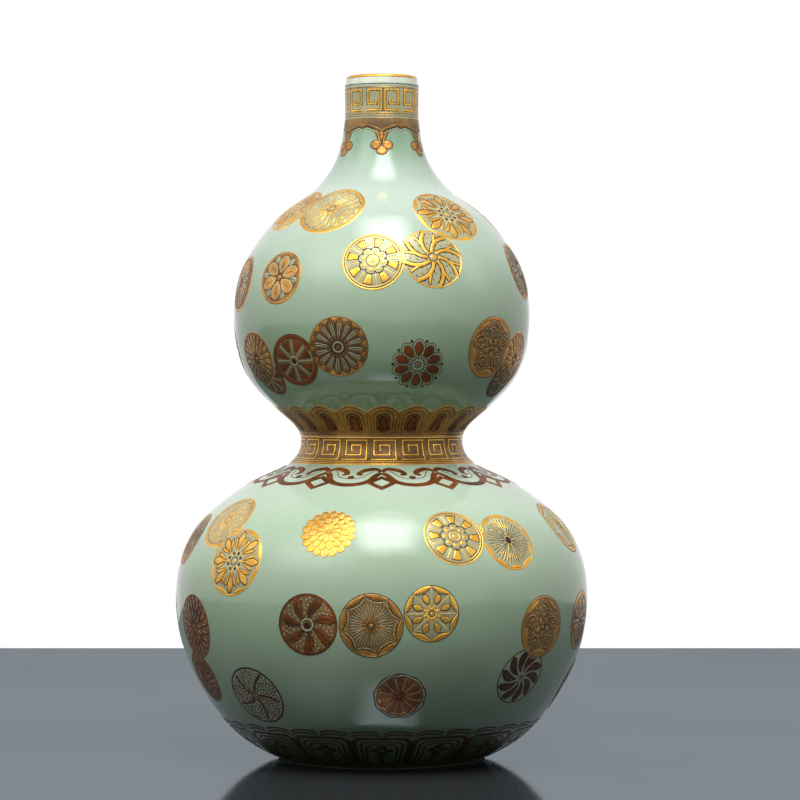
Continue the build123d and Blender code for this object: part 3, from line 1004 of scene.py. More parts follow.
class Tree:
    """A short hand for adding and joining the nodes of a tree."""

    def __init__(self, tree: NodeTree) -> None:
        """Args: tree is the one that gets the nodes."""
        self.tree = tree

    def feed(self, node: Node, inputs: dict) -> Node:
        """Fills a node's inputs with values or sockets."""
        for key, value in inputs.items():
            if isinstance(value, Socket):
                self.tree.links.new(value, node.inputs[key])
            else:
                node.inputs[key].default_value = value
        return node

    def add(self, kind: str, inputs: dict | None = None, **settings: object) -> Node:
        """Adds a node, sets it and fills its inputs."""
        node = self.tree.nodes.new(kind)
        for name, value in settings.items():
            setattr(node, name, value)
        return self.feed(node, inputs or {})

    def mix(self, share: object, first: object, second: object) -> Socket:
        """A colour between two others."""
        return self.add("ShaderNodeMix", {0: share, 6: first, 7: second}, data_type="RGBA").outputs[2]

    def math(self, operation: str, first: object, second: object = 0.0, clamp: bool = False) -> Socket:
        """A number worked out from two others."""
        inputs = {0: first, 1: second}
        return self.add("ShaderNodeMath", inputs, operation=operation, use_clamp=clamp).outputs[0]

    def spread(self, value: object, low: float, high: float, to_low: float = 0.0,
               to_high: float = 1.0) -> Socket:
        """A number carried from one range to another and held there."""
        return self.add("ShaderNodeMapRange", {0: value, 1: low, 2: high, 3: to_low, 4: to_high}).outputs[0]

    def noise(self, where: object, scale: object, detail: float, roughness: float = 0.5) -> Socket:
        """Smooth noise from 0 to 1."""
        inputs = {"Vector": where, "Scale": scale, "Detail": detail, "Roughness": roughness}
        return self.add("ShaderNodeTexNoise", inputs).outputs[0]

    def effect(self, group: NodeTree, where: object, **values: float) -> Socket:
        """What a shared effect puts out at the given coordinates, with values of its own."""
        return self.add("ShaderNodeGroup", {"Vector": where, **values}, node_tree=group).outputs[0]

    def bump(self, height: object, strength: float, distance: float) -> Socket:
        """Normals that follow a height."""
        inputs = {"Height": height, "Strength": strength, "Distance": distance}
        return self.add("ShaderNodeBump", inputs).outputs["Normal"]


def new_group(name: str, output: str, **values: float) -> tuple[Tree, bpy.types.bpy_prop_collection, Node]:
    """An empty node group that reads a vector and named values, and puts out one value.

    Args:
        name: the group's name.
        output: the name of what it puts out.
        values: the name and first value of each value that it reads.

    Returns:
        The group's tree, what comes in by name, and the node of its output.
    """
    group = bpy.data.node_groups.new(name, "ShaderNodeTree")
    group.interface.new_socket("Vector", in_out="INPUT", socket_type="NodeSocketVector")
    for label, value in values.items():
        socket = group.interface.new_socket(label, in_out="INPUT", socket_type="NodeSocketFloat")
        socket.default_value = value
    group.interface.new_socket(output, in_out="OUTPUT", socket_type="NodeSocketFloat")
    tree = Tree(group)
    return tree, tree.add("NodeGroupInput").outputs, tree.add("NodeGroupOutput")


class SharedEffects:
    """The effects that several finishes use, each built once as a node group."""

    def __init__(self) -> None:
        """Builds the groups."""
        self.rubbed = self.build_rubbed()
        self.flecks = self.build_flecks()
        self.skin = self.build_skin()

    def build_rubbed(self) -> NodeTree:
        """A mask of rubbed places: shares of broad and of fine noise, kept where they pass a start.

        The start is 0.78 less 0.45 of the amount, and the mask climbs to one within a ninth past it.
        """
        tree, given, out = new_group("rubbed_places", "Mask", Scale=60.0, Amount=0.3)
        broad = tree.noise(given["Vector"], given["Scale"], 3.0, 0.6)
        fine = tree.noise(given["Vector"], tree.math("MULTIPLY", given["Scale"], 9.0), 4.0, 0.7)
        both = tree.math("ADD", tree.math("MULTIPLY", broad, 0.55), tree.math("MULTIPLY", fine, 0.45))
        start = tree.math("SUBTRACT", 0.78, tree.math("MULTIPLY", given["Amount"], 0.45))
        tree.feed(out, {"Mask": tree.math("MULTIPLY", tree.math("SUBTRACT", both, start), 9.0, clamp=True)})
        return tree.tree

    def build_flecks(self) -> NodeTree:
        """A mask of small round flecks: cells of which a share hold one, where the cell's middle is near."""
        tree, given, out = new_group("flecks", "Mask", Scale=90.0, Size=0.05, Share=0.1)
        cells = tree.add("ShaderNodeTexVoronoi", {"Vector": given["Vector"], "Scale": given["Scale"]})
        near = tree.math("LESS_THAN", cells.outputs["Distance"], given["Size"])
        split = tree.add("ShaderNodeSeparateColor", {0: cells.outputs["Color"]})
        chosen = tree.math("LESS_THAN", split.outputs[0], given["Share"])
        tree.feed(out, {"Mask": tree.math("MULTIPLY", near, chosen)})
        return tree.tree

    def build_skin(self) -> NodeTree:
        """The height of a fired skin: a slow swell and a fine tooth, each in the share asked for."""
        tree, given, out = new_group("fired_skin", "Height", Swell=1.0, Tooth=0.1)
        swell = tree.math("MULTIPLY", tree.noise(given["Vector"], 55.0, 1.0), given["Swell"])
        tooth = tree.math("MULTIPLY", tree.noise(given["Vector"], 1800.0, 3.0, 0.6), given["Tooth"])
        tree.feed(out, {"Height": tree.math("ADD", swell, tooth)})
        return tree.tree


def new_material(name: str) -> tuple[Material, Tree, Node, Socket]:
    """A new material, its tree, its Principled surface and the Object coordinates of what wears it."""
    material = bpy.data.materials.new(name)
    material.use_nodes = True
    tree = Tree(material.node_tree)
    where = tree.add("ShaderNodeTexCoord").outputs["Object"]
    return material, tree, material.node_tree.nodes["Principled BSDF"], where


@dataclass(frozen=True)
class CeladonGlaze:
    """Celadon: thin and white at the lip, pooled greener at waist, neck and foot; painted light and shade by
    level.
    """

    name: str = "celadon_glaze"
    # Colours by level. The white lip and the greener neck are the glaze's own. The darker undersides of both
    # bulbs, above the waist and below the crown, are painted shade. The dark foot is partly pooling and
    # partly painted shade. The lighter upward-facing shoulders are painted light.
    levels: tuple[tuple[float, Colour], ...] = (
        (0.0, (82, 104, 80)), (12.0, (100, 126, 97)), (40.0, (158, 186, 152)), (62.0, (174, 200, 168)),
        (82.0, (176, 202, 170)), (112.0, (184, 208, 180)), (131.0, (200, 218, 198)), (141.0, (168, 192, 162)),
        (152.0, (146, 172, 141)), (172.0, (152, 180, 146)), (206.0, (170, 197, 164)),
        (240.0, (178, 198, 178)), (264.0, (184, 200, 187)), (276.0, (172, 190, 177)),
        (284.0, (142, 176, 148)), (293.0, (130, 166, 138)), (299.0, (158, 178, 150)),
        (314.0, (170, 188, 160)), (316.5, (226, 230, 214)), (320.0, (222, 222, 205)),
    )
    height: float = 320.0
    cloud_colour: Colour = (154, 182, 150)
    grain_colour: Colour = (122, 138, 108)
    speck_colour: Colour = (58, 46, 34)
    roughness: Pair = (0.07, 0.13)
    refraction: float = 1.52

    def material(self, effects: SharedEffects) -> Material:
        """Builds the finish."""
        material, tree, shader, where = new_material(self.name)
        level = tree.add("ShaderNodeSeparateXYZ", {0: where}).outputs["Z"]
        ramp = tree.add("ShaderNodeValToRGB", {0: tree.spread(level, 0.0, self.height * METRES)})
        stops = ramp.color_ramp.elements
        for number, (at, colour) in enumerate(self.levels):
            stop = stops[number] if number < 2 else stops.new(at / self.height)
            stop.position = at / self.height
            stop.color = linear(*colour)
        cloud = tree.noise(where, 16.0, 3.0, 0.55)
        grain = tree.noise(where, 420.0, 4.0, 0.7)
        deep = tree.mix(tree.spread(cloud, 0.35, 0.7, 0.0, 0.32), ramp.outputs[0], linear(*self.cloud_colour))
        mottled = tree.mix(tree.spread(grain, 0.3, 0.75, 0.0, 0.10), deep, linear(*self.grain_colour))
        specks = tree.effect(effects.flecks, where, Scale=42.0, Size=0.016, Share=0.10)
        tree.feed(shader, {
            "Base Color": tree.mix(specks, mottled, linear(*self.speck_colour)),
            "Roughness": tree.spread(cloud, 0.3, 0.8, *self.roughness),
            "IOR": self.refraction,
            "Normal": tree.bump(tree.effect(effects.skin, where, Tooth=0.012), 0.35, 0.0009),
        })
        return material


@dataclass(frozen=True)
class FiredCoat:
    """A fired coat of gold or iron over the glaze, rubbed through in places to what lies under it.

    Args:
        name: the material's name.
        colour: the coat, in display steps.
        shade: its darker places.
        under: what shows where it is rubbed.
        metal: how metallic the coat is.
        roughness: its smoothest and roughest places.
        rubbed: how much of it is rubbed away, from 0 to 1.
        shine: how strongly its varnish mirrors light, where a half is usual.
    """

    name: str
    colour: Colour
    shade: Colour
    under: Colour
    metal: float
    roughness: Pair
    rubbed: float
    shine: float = 0.5

    def material(self, effects: SharedEffects) -> Material:
        """Builds the finish."""
        material, tree, shader, where = new_material(self.name)
        worn = tree.effect(effects.rubbed, where, Scale=70.0, Amount=self.rubbed)
        patch = tree.noise(where, 62.0, 5.0, 0.72)
        toned = tree.mix(tree.spread(patch, 0.40, 0.62), linear(*self.colour), linear(*self.shade))
        tree.feed(shader, {
            "Base Color": tree.mix(worn, toned, linear(*self.under)),
            "Roughness": tree.spread(patch, 0.3, 0.7, *self.roughness),
            "Specular IOR Level": self.shine,
            "Normal": tree.bump(tree.effect(effects.skin, where, Swell=0.4, Tooth=0.25), 0.5, 0.0002),
        })
        if self.metal:
            tree.feed(shader, {"Metallic": tree.spread(worn, 0.0, 1.0, self.metal, self.metal * 0.25)})
        return material


@dataclass(frozen=True)
class BareClay:
    """Unglazed fired clay: a fine tooth, a warm flush and iron flecks."""

    name: str
    colour: Colour
    flush: Colour
    speck_colour: Colour = (112, 78, 52)

    def material(self, effects: SharedEffects) -> Material:
        """Builds the finish."""
        material, tree, shader, where = new_material(self.name)
        cloud = tree.noise(where, 70.0, 4.0, 0.65)
        toned = tree.mix(tree.spread(cloud, 0.35, 0.7), linear(*self.colour), linear(*self.flush))
        specks = tree.effect(effects.flecks, where, Scale=380.0, Size=0.16)
        tree.feed(shader, {
            "Base Color": tree.mix(specks, toned, linear(*self.speck_colour)),
            "Roughness": tree.spread(cloud, 0.3, 0.7, 0.68, 0.85),
            "Normal": tree.bump(tree.effect(effects.skin, where, Tooth=1.0), 0.6, 0.0002),
        })
        return material


class Palette:
    """Every finish of the vase."""

    def __init__(self) -> None:
        """Builds the finishes from their shared effects."""
        effects = SharedEffects()
        self.glaze = CeladonGlaze().material(effects)
        self.bare = BareClay("bare_foot_clay", (206, 190, 166), (176, 140, 104)).material(effects)
        self.slip = BareClay("luting_slip", (220, 212, 198), (204, 192, 172)).material(effects)
        # One for each coat, in the order of Coat
        finishes = (
            FiredCoat("bright_gold", (232, 182, 76), (206, 146, 52), (136, 86, 38), 0.92, (0.22, 0.38), 0.22),
            FiredCoat("old_gold", (200, 144, 66), (134, 92, 46), (96, 62, 34), 0.80, (0.26, 0.42), 0.28),
            FiredCoat("pale_gold_wash", (182, 174, 132), (162, 164, 126), (170, 186, 150), 0.25,
                      (0.24, 0.40), 0.42),
            FiredCoat("brown_gold_wash", (156, 118, 66), (104, 82, 52), (148, 148, 112), 0.25,
                      (0.28, 0.44), 0.30, 0.3),
            FiredCoat("russet_gold", (144, 80, 32), (86, 50, 24), (66, 44, 24), 0.28, (0.34, 0.50), 0.15,
                      0.2),
            FiredCoat("iron_brown", (70, 44, 28), (50, 34, 24), (98, 74, 50), 0.10, (0.34, 0.50), 0.15, 0.2),
            FiredCoat("bare_glaze", (176, 186, 152), (160, 172, 138), (146, 138, 102), 0.0,
                      (0.14, 0.24), 0.15),
        )
        self.coats = {coat: finish.material(effects) for coat, finish in zip(Coat, finishes)}


# Sub-assemblies

@dataclass
class GlazedPot:
    """The five luted sections of the pot, their glaze, the bare foot rim and the slip beads inside."""

    shape: PotShape
    palette: Palette
    outside_step: float = 1.4
    inside_step: float = 3.0
    seam_step: float = 0.05
    neck_root_level: float = 272.0
    bead_radius: float = 1.6
    bead_ripple: float = 0.06
    recess_bend: float = 2.0
    rim_top: float = 0.75
    touch: float = 1e-3
    sections: tuple[str, ...] = (
        "foot_and_lower_bowl", "lower_bulb_shoulder",
        "upper_bulb_bowl", "upper_bulb_shoulder", "neck_and_lip",
    )
    joints: tuple[str, ...] = ("belly", "waist", "crown", "neck")
    outside: SmoothLine = field(init=False)
    inside: SmoothLine = field(init=False)

    def __post_init__(self) -> None:
        """Works out both sides of the wall."""
        self.outside = self.shape.outside()
        self.inside = self.shape.inside(self.outside)

    def seams(self) -> tuple[float, ...]:
        """The levels of the four luted joints."""
        return self.shape.belly[1], self.shape.waist[1], self.shape.crown[1], self.neck_root_level

    def stretch(self, line: SmoothLine, low: float | None, high: float | None, step: float) -> Grid:
        """Points of a line between two levels, with a short step at each seam so that the shading meets.

        Args:
            line: the outside or the inside.
            low: the level of the seam at the foot, or None for the start of the line.
            high: the level of the seam at the top, or None for its end.
            step: the usual distance between points.

        Returns:
            Points by (radius, level), upward.
        """
        start = 0.0 if low is None else line.run_at(low)
        end = float(line.run[-1]) if high is None else line.run_at(high)
        run = np.linspace(start, end, max(2, int((end - start) / step)))
        extra = [start + self.seam_step] * (low is not None) + [end - self.seam_step] * (high is not None)
        return line.frame_at(np.sort(np.concatenate([run, extra])))[:2].T

    def underside(self) -> Grid:
        """The recessed base and the flat foot rim, outward from the axis, with softened corners."""
        shape, bend = self.shape, self.recess_bend
        turn = np.linspace(0.0, np.pi / 2, 7)[1:-1]
        corner = np.stack([shape.recess_radius - bend + bend * np.sin(turn),
                           shape.base_recess - bend + bend * np.cos(turn)], axis=-1)
        flat = np.linspace(0.0, shape.recess_radius - bend, 12)
        base = np.stack([flat, np.full(len(flat), shape.base_recess)], axis=-1)
        rim = [
            (shape.foot_inner_radius - 0.25, 0.7), (shape.foot_inner_radius + 0.1, 0.18),
            (shape.foot_inner_radius + 0.5, 0.0), (shape.foot_outer_radius - 0.4, 0.0),
            (shape.foot_outer_radius + 0.15, 0.12), (shape.foot_outer_radius + 0.75, 0.6),
        ]
        return np.concatenate([base, corner, np.array(rim)])

    def mouth(self) -> Grid:
        """The bevel, the rounded crest and the bore of the lip, from the outside band down to the neck."""
        shape = self.shape
        middle, radius, half = shape.crest()
        at = np.linspace(half, -half, 9)
        crest = middle + radius * np.stack([np.sin(at), np.cos(at)], axis=-1)
        band = np.array([shape.lip_radius, shape.lip_level - shape.lip_band_drop])
        bevel = band + (crest[0] - band) * np.linspace(0.0, 1.0, 6)[1:-1, None]
        bore_top = shape.lip_level - shape.mouth_flare_drop
        bore = np.linspace(bore_top, bore_top - shape.bore_length, 9)[:-1]
        return np.concatenate([bevel, crest, np.stack([np.full(8, shape.mouth_radius), bore], axis=-1)])

    def on_seam(self, points: Grid) -> Grid:
        """Which points lie at the level of a luted joint."""
        return np.abs(points[:, 1:] - np.array(self.seams())).min(axis=1) < self.touch

    def on_rim(self, points: Grid) -> Grid:
        """Which points lie on the bare foot rim."""
        return points[:, 1] < self.rim_top

    def on_axis(self, points: Grid) -> Grid:
        """Which points lie on the turning axis."""
        return points[:, 0] < ON_AXIS

    def section(self, name: str, node: str, low: float | None, high: float | None) -> bpy.types.Object:
        """One thrown section, closed by flat faces where it is luted to its neighbours."""
        out = self.stretch(self.outside, low, high, self.outside_step)
        back = self.stretch(self.inside, low, high, self.inside_step)[::-1]
        parts = [out, back]
        if low is None:
            reach = np.linspace(self.shape.floor_radius, 0.0, 8)[1:]
            floor = np.stack([reach, np.full(len(reach), self.shape.floor_level)], axis=-1)
            parts = [self.underside(), out, back, floor]
        if high is None:
            parts = [out, self.mouth(), back]
        meridian = np.concatenate(parts)
        ahead = np.roll(meridian, -1, axis=0)
        tests = (self.on_seam, self.on_rim, self.on_axis)
        luted, rim, axis = (test(meridian) & test(ahead) for test in tests)
        piece = turned_piece(name, meridian, [self.palette.glaze, self.palette.bare],
                             np.where(luted | rim, 1, 0), luted | axis)
        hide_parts(node)
        return piece

    def slip_bead(self, name: str, node: str, level: float) -> bpy.types.Object:
        """The bead of slip along the inside of a luted joint, of a slightly uneven round."""
        middle = np.array([float(self.inside.radius_at(level)), level])
        at = np.linspace(0.0, 2 * np.pi, 16, endpoint=False)
        ripple = 1.0 - self.bead_ripple * (1 + np.cos(3 * at)) / 2
        meridian = middle + self.bead_radius * ripple[:, None] * np.stack([np.cos(at), np.sin(at)], axis=-1)
        piece = turned_piece(name, meridian, [self.palette.slip], count=128)
        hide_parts(node)
        return piece

    def build(self) -> None:
        """Makes every section and every bead."""
        edges = (None, *self.seams(), None)
        for node, low, high in zip(self.sections, edges, edges[1:]):
            self.section(f"{node}_glazed", node, low, high)
        for joint, level in zip(self.joints, self.seams()):
            self.slip_bead(f"{joint}_slip_bead", f"{joint}_slip_joint", level)


Roundel = tuple[float, float, float, Design, Tone, float]


@dataclass
class Roundels:
    """The flower roundels of both bulbs, laid row by row, where an earlier one lies over a later one."""

    wall: Wall
    palette: Palette
    gap: float = 0.2
    laid: list[tuple[Grid, float]] = field(default_factory=list)
    book: RoundelBook = field(default_factory=RoundelBook)

    def clear_of_laid(self, middles: Grid) -> Grid:
        """Which points no roundel that is already there covers."""
        keep = np.ones(len(middles), bool)
        for middle, reach in self.laid:
            keep &= np.linalg.norm(middles - middle, axis=1) > reach + self.gap
        return keep

    def row(self, name: str, roundels: Sequence[Roundel]) -> None:
        """One row of roundels.

        Args:
            name: the piece's name, and with gilt before it that of the CAD node.
            roundels: azimuth, level, radius, design, tone and turn of each.
        """
        relief = Relief(name, Tone.BRIGHT)
        for azimuth, level, reach, design, tone, turn in roundels:
            marks = [mark.turned(turn).scaled(reach) for mark in self.book.draw(design)]
            relief.lay(marks, lambda grid, a=azimuth, z=level: self.wall.stamp(a, z, grid), tone,
                       self.clear_of_laid)
            middle, _ = self.wall.stamp(azimuth, level, np.zeros((1, 3)))
            self.laid.append((middle[0], reach))
        relief.build(self.palette.coats, f"gilt_{name}")

    def build(self) -> None:
        """Lays all six rows."""
        d, t = Design, Tone
        # The rows high on each bulb mostly take the BRIGHT and OUTLINED tones, and the rows low on each bulb,
        # which face down, take the darker OLD and DARK ones. These are partly the gilding's own colours and
        # partly painted light and shade.
        self.row("upper_roundels_top", (
            (37.6, 253.3, 16.5, d.LEAF_WREATH, t.OUTLINED, 10.0),
            (-30.3, 256.0, 16.0, d.GOLDEN_MUM, t.BRIGHT, 0.0),
            (-62.8, 256.6, 14.3, d.LEAF_WREATH, t.BRIGHT, 0.0),
            (96.0, 254.9, 15.4, d.STAR_DROPS, t.BRIGHT, 8.0),
            (150.0, 254.0, 14.7, d.LAYERED_MUM, t.BRIGHT, 0.0),
            (212.0, 255.6, 15.4, d.SCROLLS, t.BRIGHT, 0.0), (256.0, 253.4, 13.3, d.ARC_FAN, t.BRIGHT, 0.0),
        ))
        self.row("upper_roundels_middle", (
            (21.1, 232.8, 15.0, d.WHIPLASH, t.OUTLINED, 0.0),
            (-3.5, 231.2, 14.2, d.WEDGE_WHEEL, t.OUTLINED, 12.0),
            (-43.8, 224.1, 12.7, d.SIX_PETALS, t.OLD, 8.0), (-74.2, 222.4, 13.7, d.GOLDEN_MUM, t.OLD, 0.0),
            (76.2, 228.5, 14.0, d.DAISY, t.OLD, 0.0), (112.0, 223.6, 14.3, d.OVAL_PETALS, t.OLD, 0.0),
            (142.0, 229.2, 14.0, d.WEDGE_WHEEL, t.OUTLINED, 0.0),
            (170.0, 222.4, 13.4, d.SIX_PETALS, t.OLD, 0.0), (197.0, 230.8, 14.3, d.STAMENS, t.BRIGHT, 0.0),
            (232.0, 224.9, 14.3, d.CURVED_SPOKES, t.OLD, 0.0),
        ))
        self.row("upper_roundels_bottom", (
            (-16.9, 192.1, 13.9, d.DAISY, t.OLD, 6.0), (14.4, 184.1, 12.3, d.OVAL_PETALS, t.DARK, 0.0),
            (47.9, 191.9, 14.4, d.SCROLLS, t.OLD, 0.0), (-37.0, 185.9, 12.6, d.SPOKE_WHEEL, t.DARK, 0.0),
            (-59.7, 187.0, 12.9, d.DENSE_MUM, t.OLD, 0.0), (-55.0, 178.2, 9.6, d.SPOKE_WHEEL, t.DARK, 10.0),
            (67.1, 186.6, 13.4, d.DENSE_MUM, t.OLD, 0.0), (64.0, 177.4, 10.4, d.DAISY, t.DARK, 0.0),
            (100.0, 191.4, 13.3, d.ARC_FAN, t.OLD, 0.0), (127.0, 185.2, 14.0, d.OVAL_PETALS, t.OLD, 0.0),
            (154.0, 192.6, 12.9, d.PINWHEEL, t.OLD, 0.0), (182.0, 186.4, 14.0, d.DAISY, t.OLD, 0.0),
            (209.0, 191.4, 13.3, d.LAYERED_MUM, t.OLD, 0.0), (240.0, 186.4, 14.0, d.VEINED, t.OLD, 0.0),
            (268.0, 190.8, 12.9, d.STAR_DROPS, t.OLD, 0.0),
        ))
        self.row("lower_roundels_top", (
            (-45.2, 96.1, 16.0, d.LEAF_WREATH, t.OUTLINED, 0.0),
            (-58.0, 113.5, 15.0, d.GOLDEN_MUM, t.BRIGHT, 0.0),
            (-16.1, 109.9, 12.8, d.LAYERED_MUM, t.BRIGHT, 0.0),
            (21.8, 108.0, 14.3, d.WEDGE_WHEEL, t.OUTLINED, 5.0),
            (39.7, 105.6, 14.5, d.STAMENS, t.OUTLINED, 0.0), (74.0, 110.2, 14.2, d.ARC_FAN, t.OUTLINED, 0.0),
            (-78.3, 104.4, 13.5, d.SCROLLS, t.OLD, 0.0), (98.0, 105.1, 14.7, d.WHIPLASH, t.BRIGHT, 0.0),
            (122.0, 111.3, 13.3, d.OVAL_PETALS, t.BRIGHT, 0.0),
            (147.0, 103.6, 14.6, d.STAR_DROPS, t.BRIGHT, 0.0),
            (176.0, 109.5, 14.7, d.LAYERED_MUM, t.BRIGHT, 0.0),
            (203.0, 104.3, 14.0, d.DAISY, t.OUTLINED, 0.0),
            (232.0, 110.3, 14.7, d.CURVED_SPOKES, t.BRIGHT, 0.0),
            (256.0, 103.6, 13.4, d.DENSE_MUM, t.BRIGHT, 0.0),
        ))
        self.row("lower_roundels_middle", (
            (-2.8, 69.3, 14.4, d.ARC_FAN, t.OLD, 0.0), (-20.0, 69.3, 13.9, d.CURVED_SPOKES, t.DARK, 0.0),
            (13.2, 74.4, 12.6, d.STAR_DROPS, t.OUTLINED, 0.0), (49.1, 66.2, 14.3, d.SCROLLS, t.OLD, 0.0),
            (73.0, 66.6, 14.0, d.SPOKE_WHEEL, t.OLD, 0.0), (-63.5, 64.6, 15.1, d.DENSE_MUM, t.DARK, 0.0),
            (96.0, 70.7, 13.3, d.LAYERED_MUM, t.OLD, 0.0), (117.0, 63.6, 14.4, d.LEAF_WREATH, t.OLD, 0.0),
            (139.0, 69.6, 13.3, d.SIX_PETALS, t.OLD, 0.0), (163.0, 65.1, 14.7, d.WHIPLASH, t.OLD, 0.0),
            (187.0, 71.0, 14.0, d.STAMENS, t.OLD, 0.0), (213.0, 65.1, 13.4, d.OVAL_PETALS, t.OLD, 0.0),
            (241.0, 69.6, 14.7, d.GOLDEN_MUM, t.OLD, 0.0), (270.0, 65.1, 13.3, d.DAISY, t.OLD, 0.0),
        ))
        self.row("lower_roundels_bottom", (
            (5.3, 37.1, 11.9, d.DOUBLE_WAVE, t.DARK, 0.0), (-41.4, 35.2, 15.0, d.VEINED, t.DARK, 0.0),
            (44.2, 43.8, 13.8, d.PINWHEEL, t.DARK, 0.0), (-66.5, 41.0, 13.0, d.DENSE_MUM, t.DARK, 0.0),
            (84.0, 35.5, 14.0, d.SPOKE_WHEEL, t.DARK, 0.0), (106.0, 38.8, 11.9, d.OVAL_PETALS, t.OLD, 0.0),
            (131.0, 35.5, 14.0, d.ARC_FAN, t.OLD, 0.0), (156.0, 37.7, 12.9, d.SCROLLS, t.OLD, 0.0),
            (181.0, 35.5, 14.3, d.LAYERED_MUM, t.OLD, 0.0), (207.0, 38.8, 12.6, d.PINWHEEL, t.DARK, 0.0),
            (233.0, 35.5, 14.0, d.DENSE_MUM, t.OLD, 0.0),
        ))


def bow(start: Pair, end: Pair, lift: float, points: int) -> Grid:
    """A curve from one point to another that swings up between them by the lift times a sine."""
    share = np.linspace(0.0, 1.0, points)[:, None]
    line = np.array(start) + (np.array(end) - np.array(start)) * share
    return line + np.concatenate([np.zeros_like(share), lift * np.sin(np.pi * share)], axis=1)


def through(points: Sequence[Pair], count: int) -> Grid:
    """A smooth brushed path through a few points."""
    values = np.array(points, float)
    knots = np.concatenate([[0.0], np.cumsum(np.linalg.norm(np.diff(values, axis=0), axis=1))])
    return cubic_through(knots, values, np.linspace(0.0, knots[-1], count))


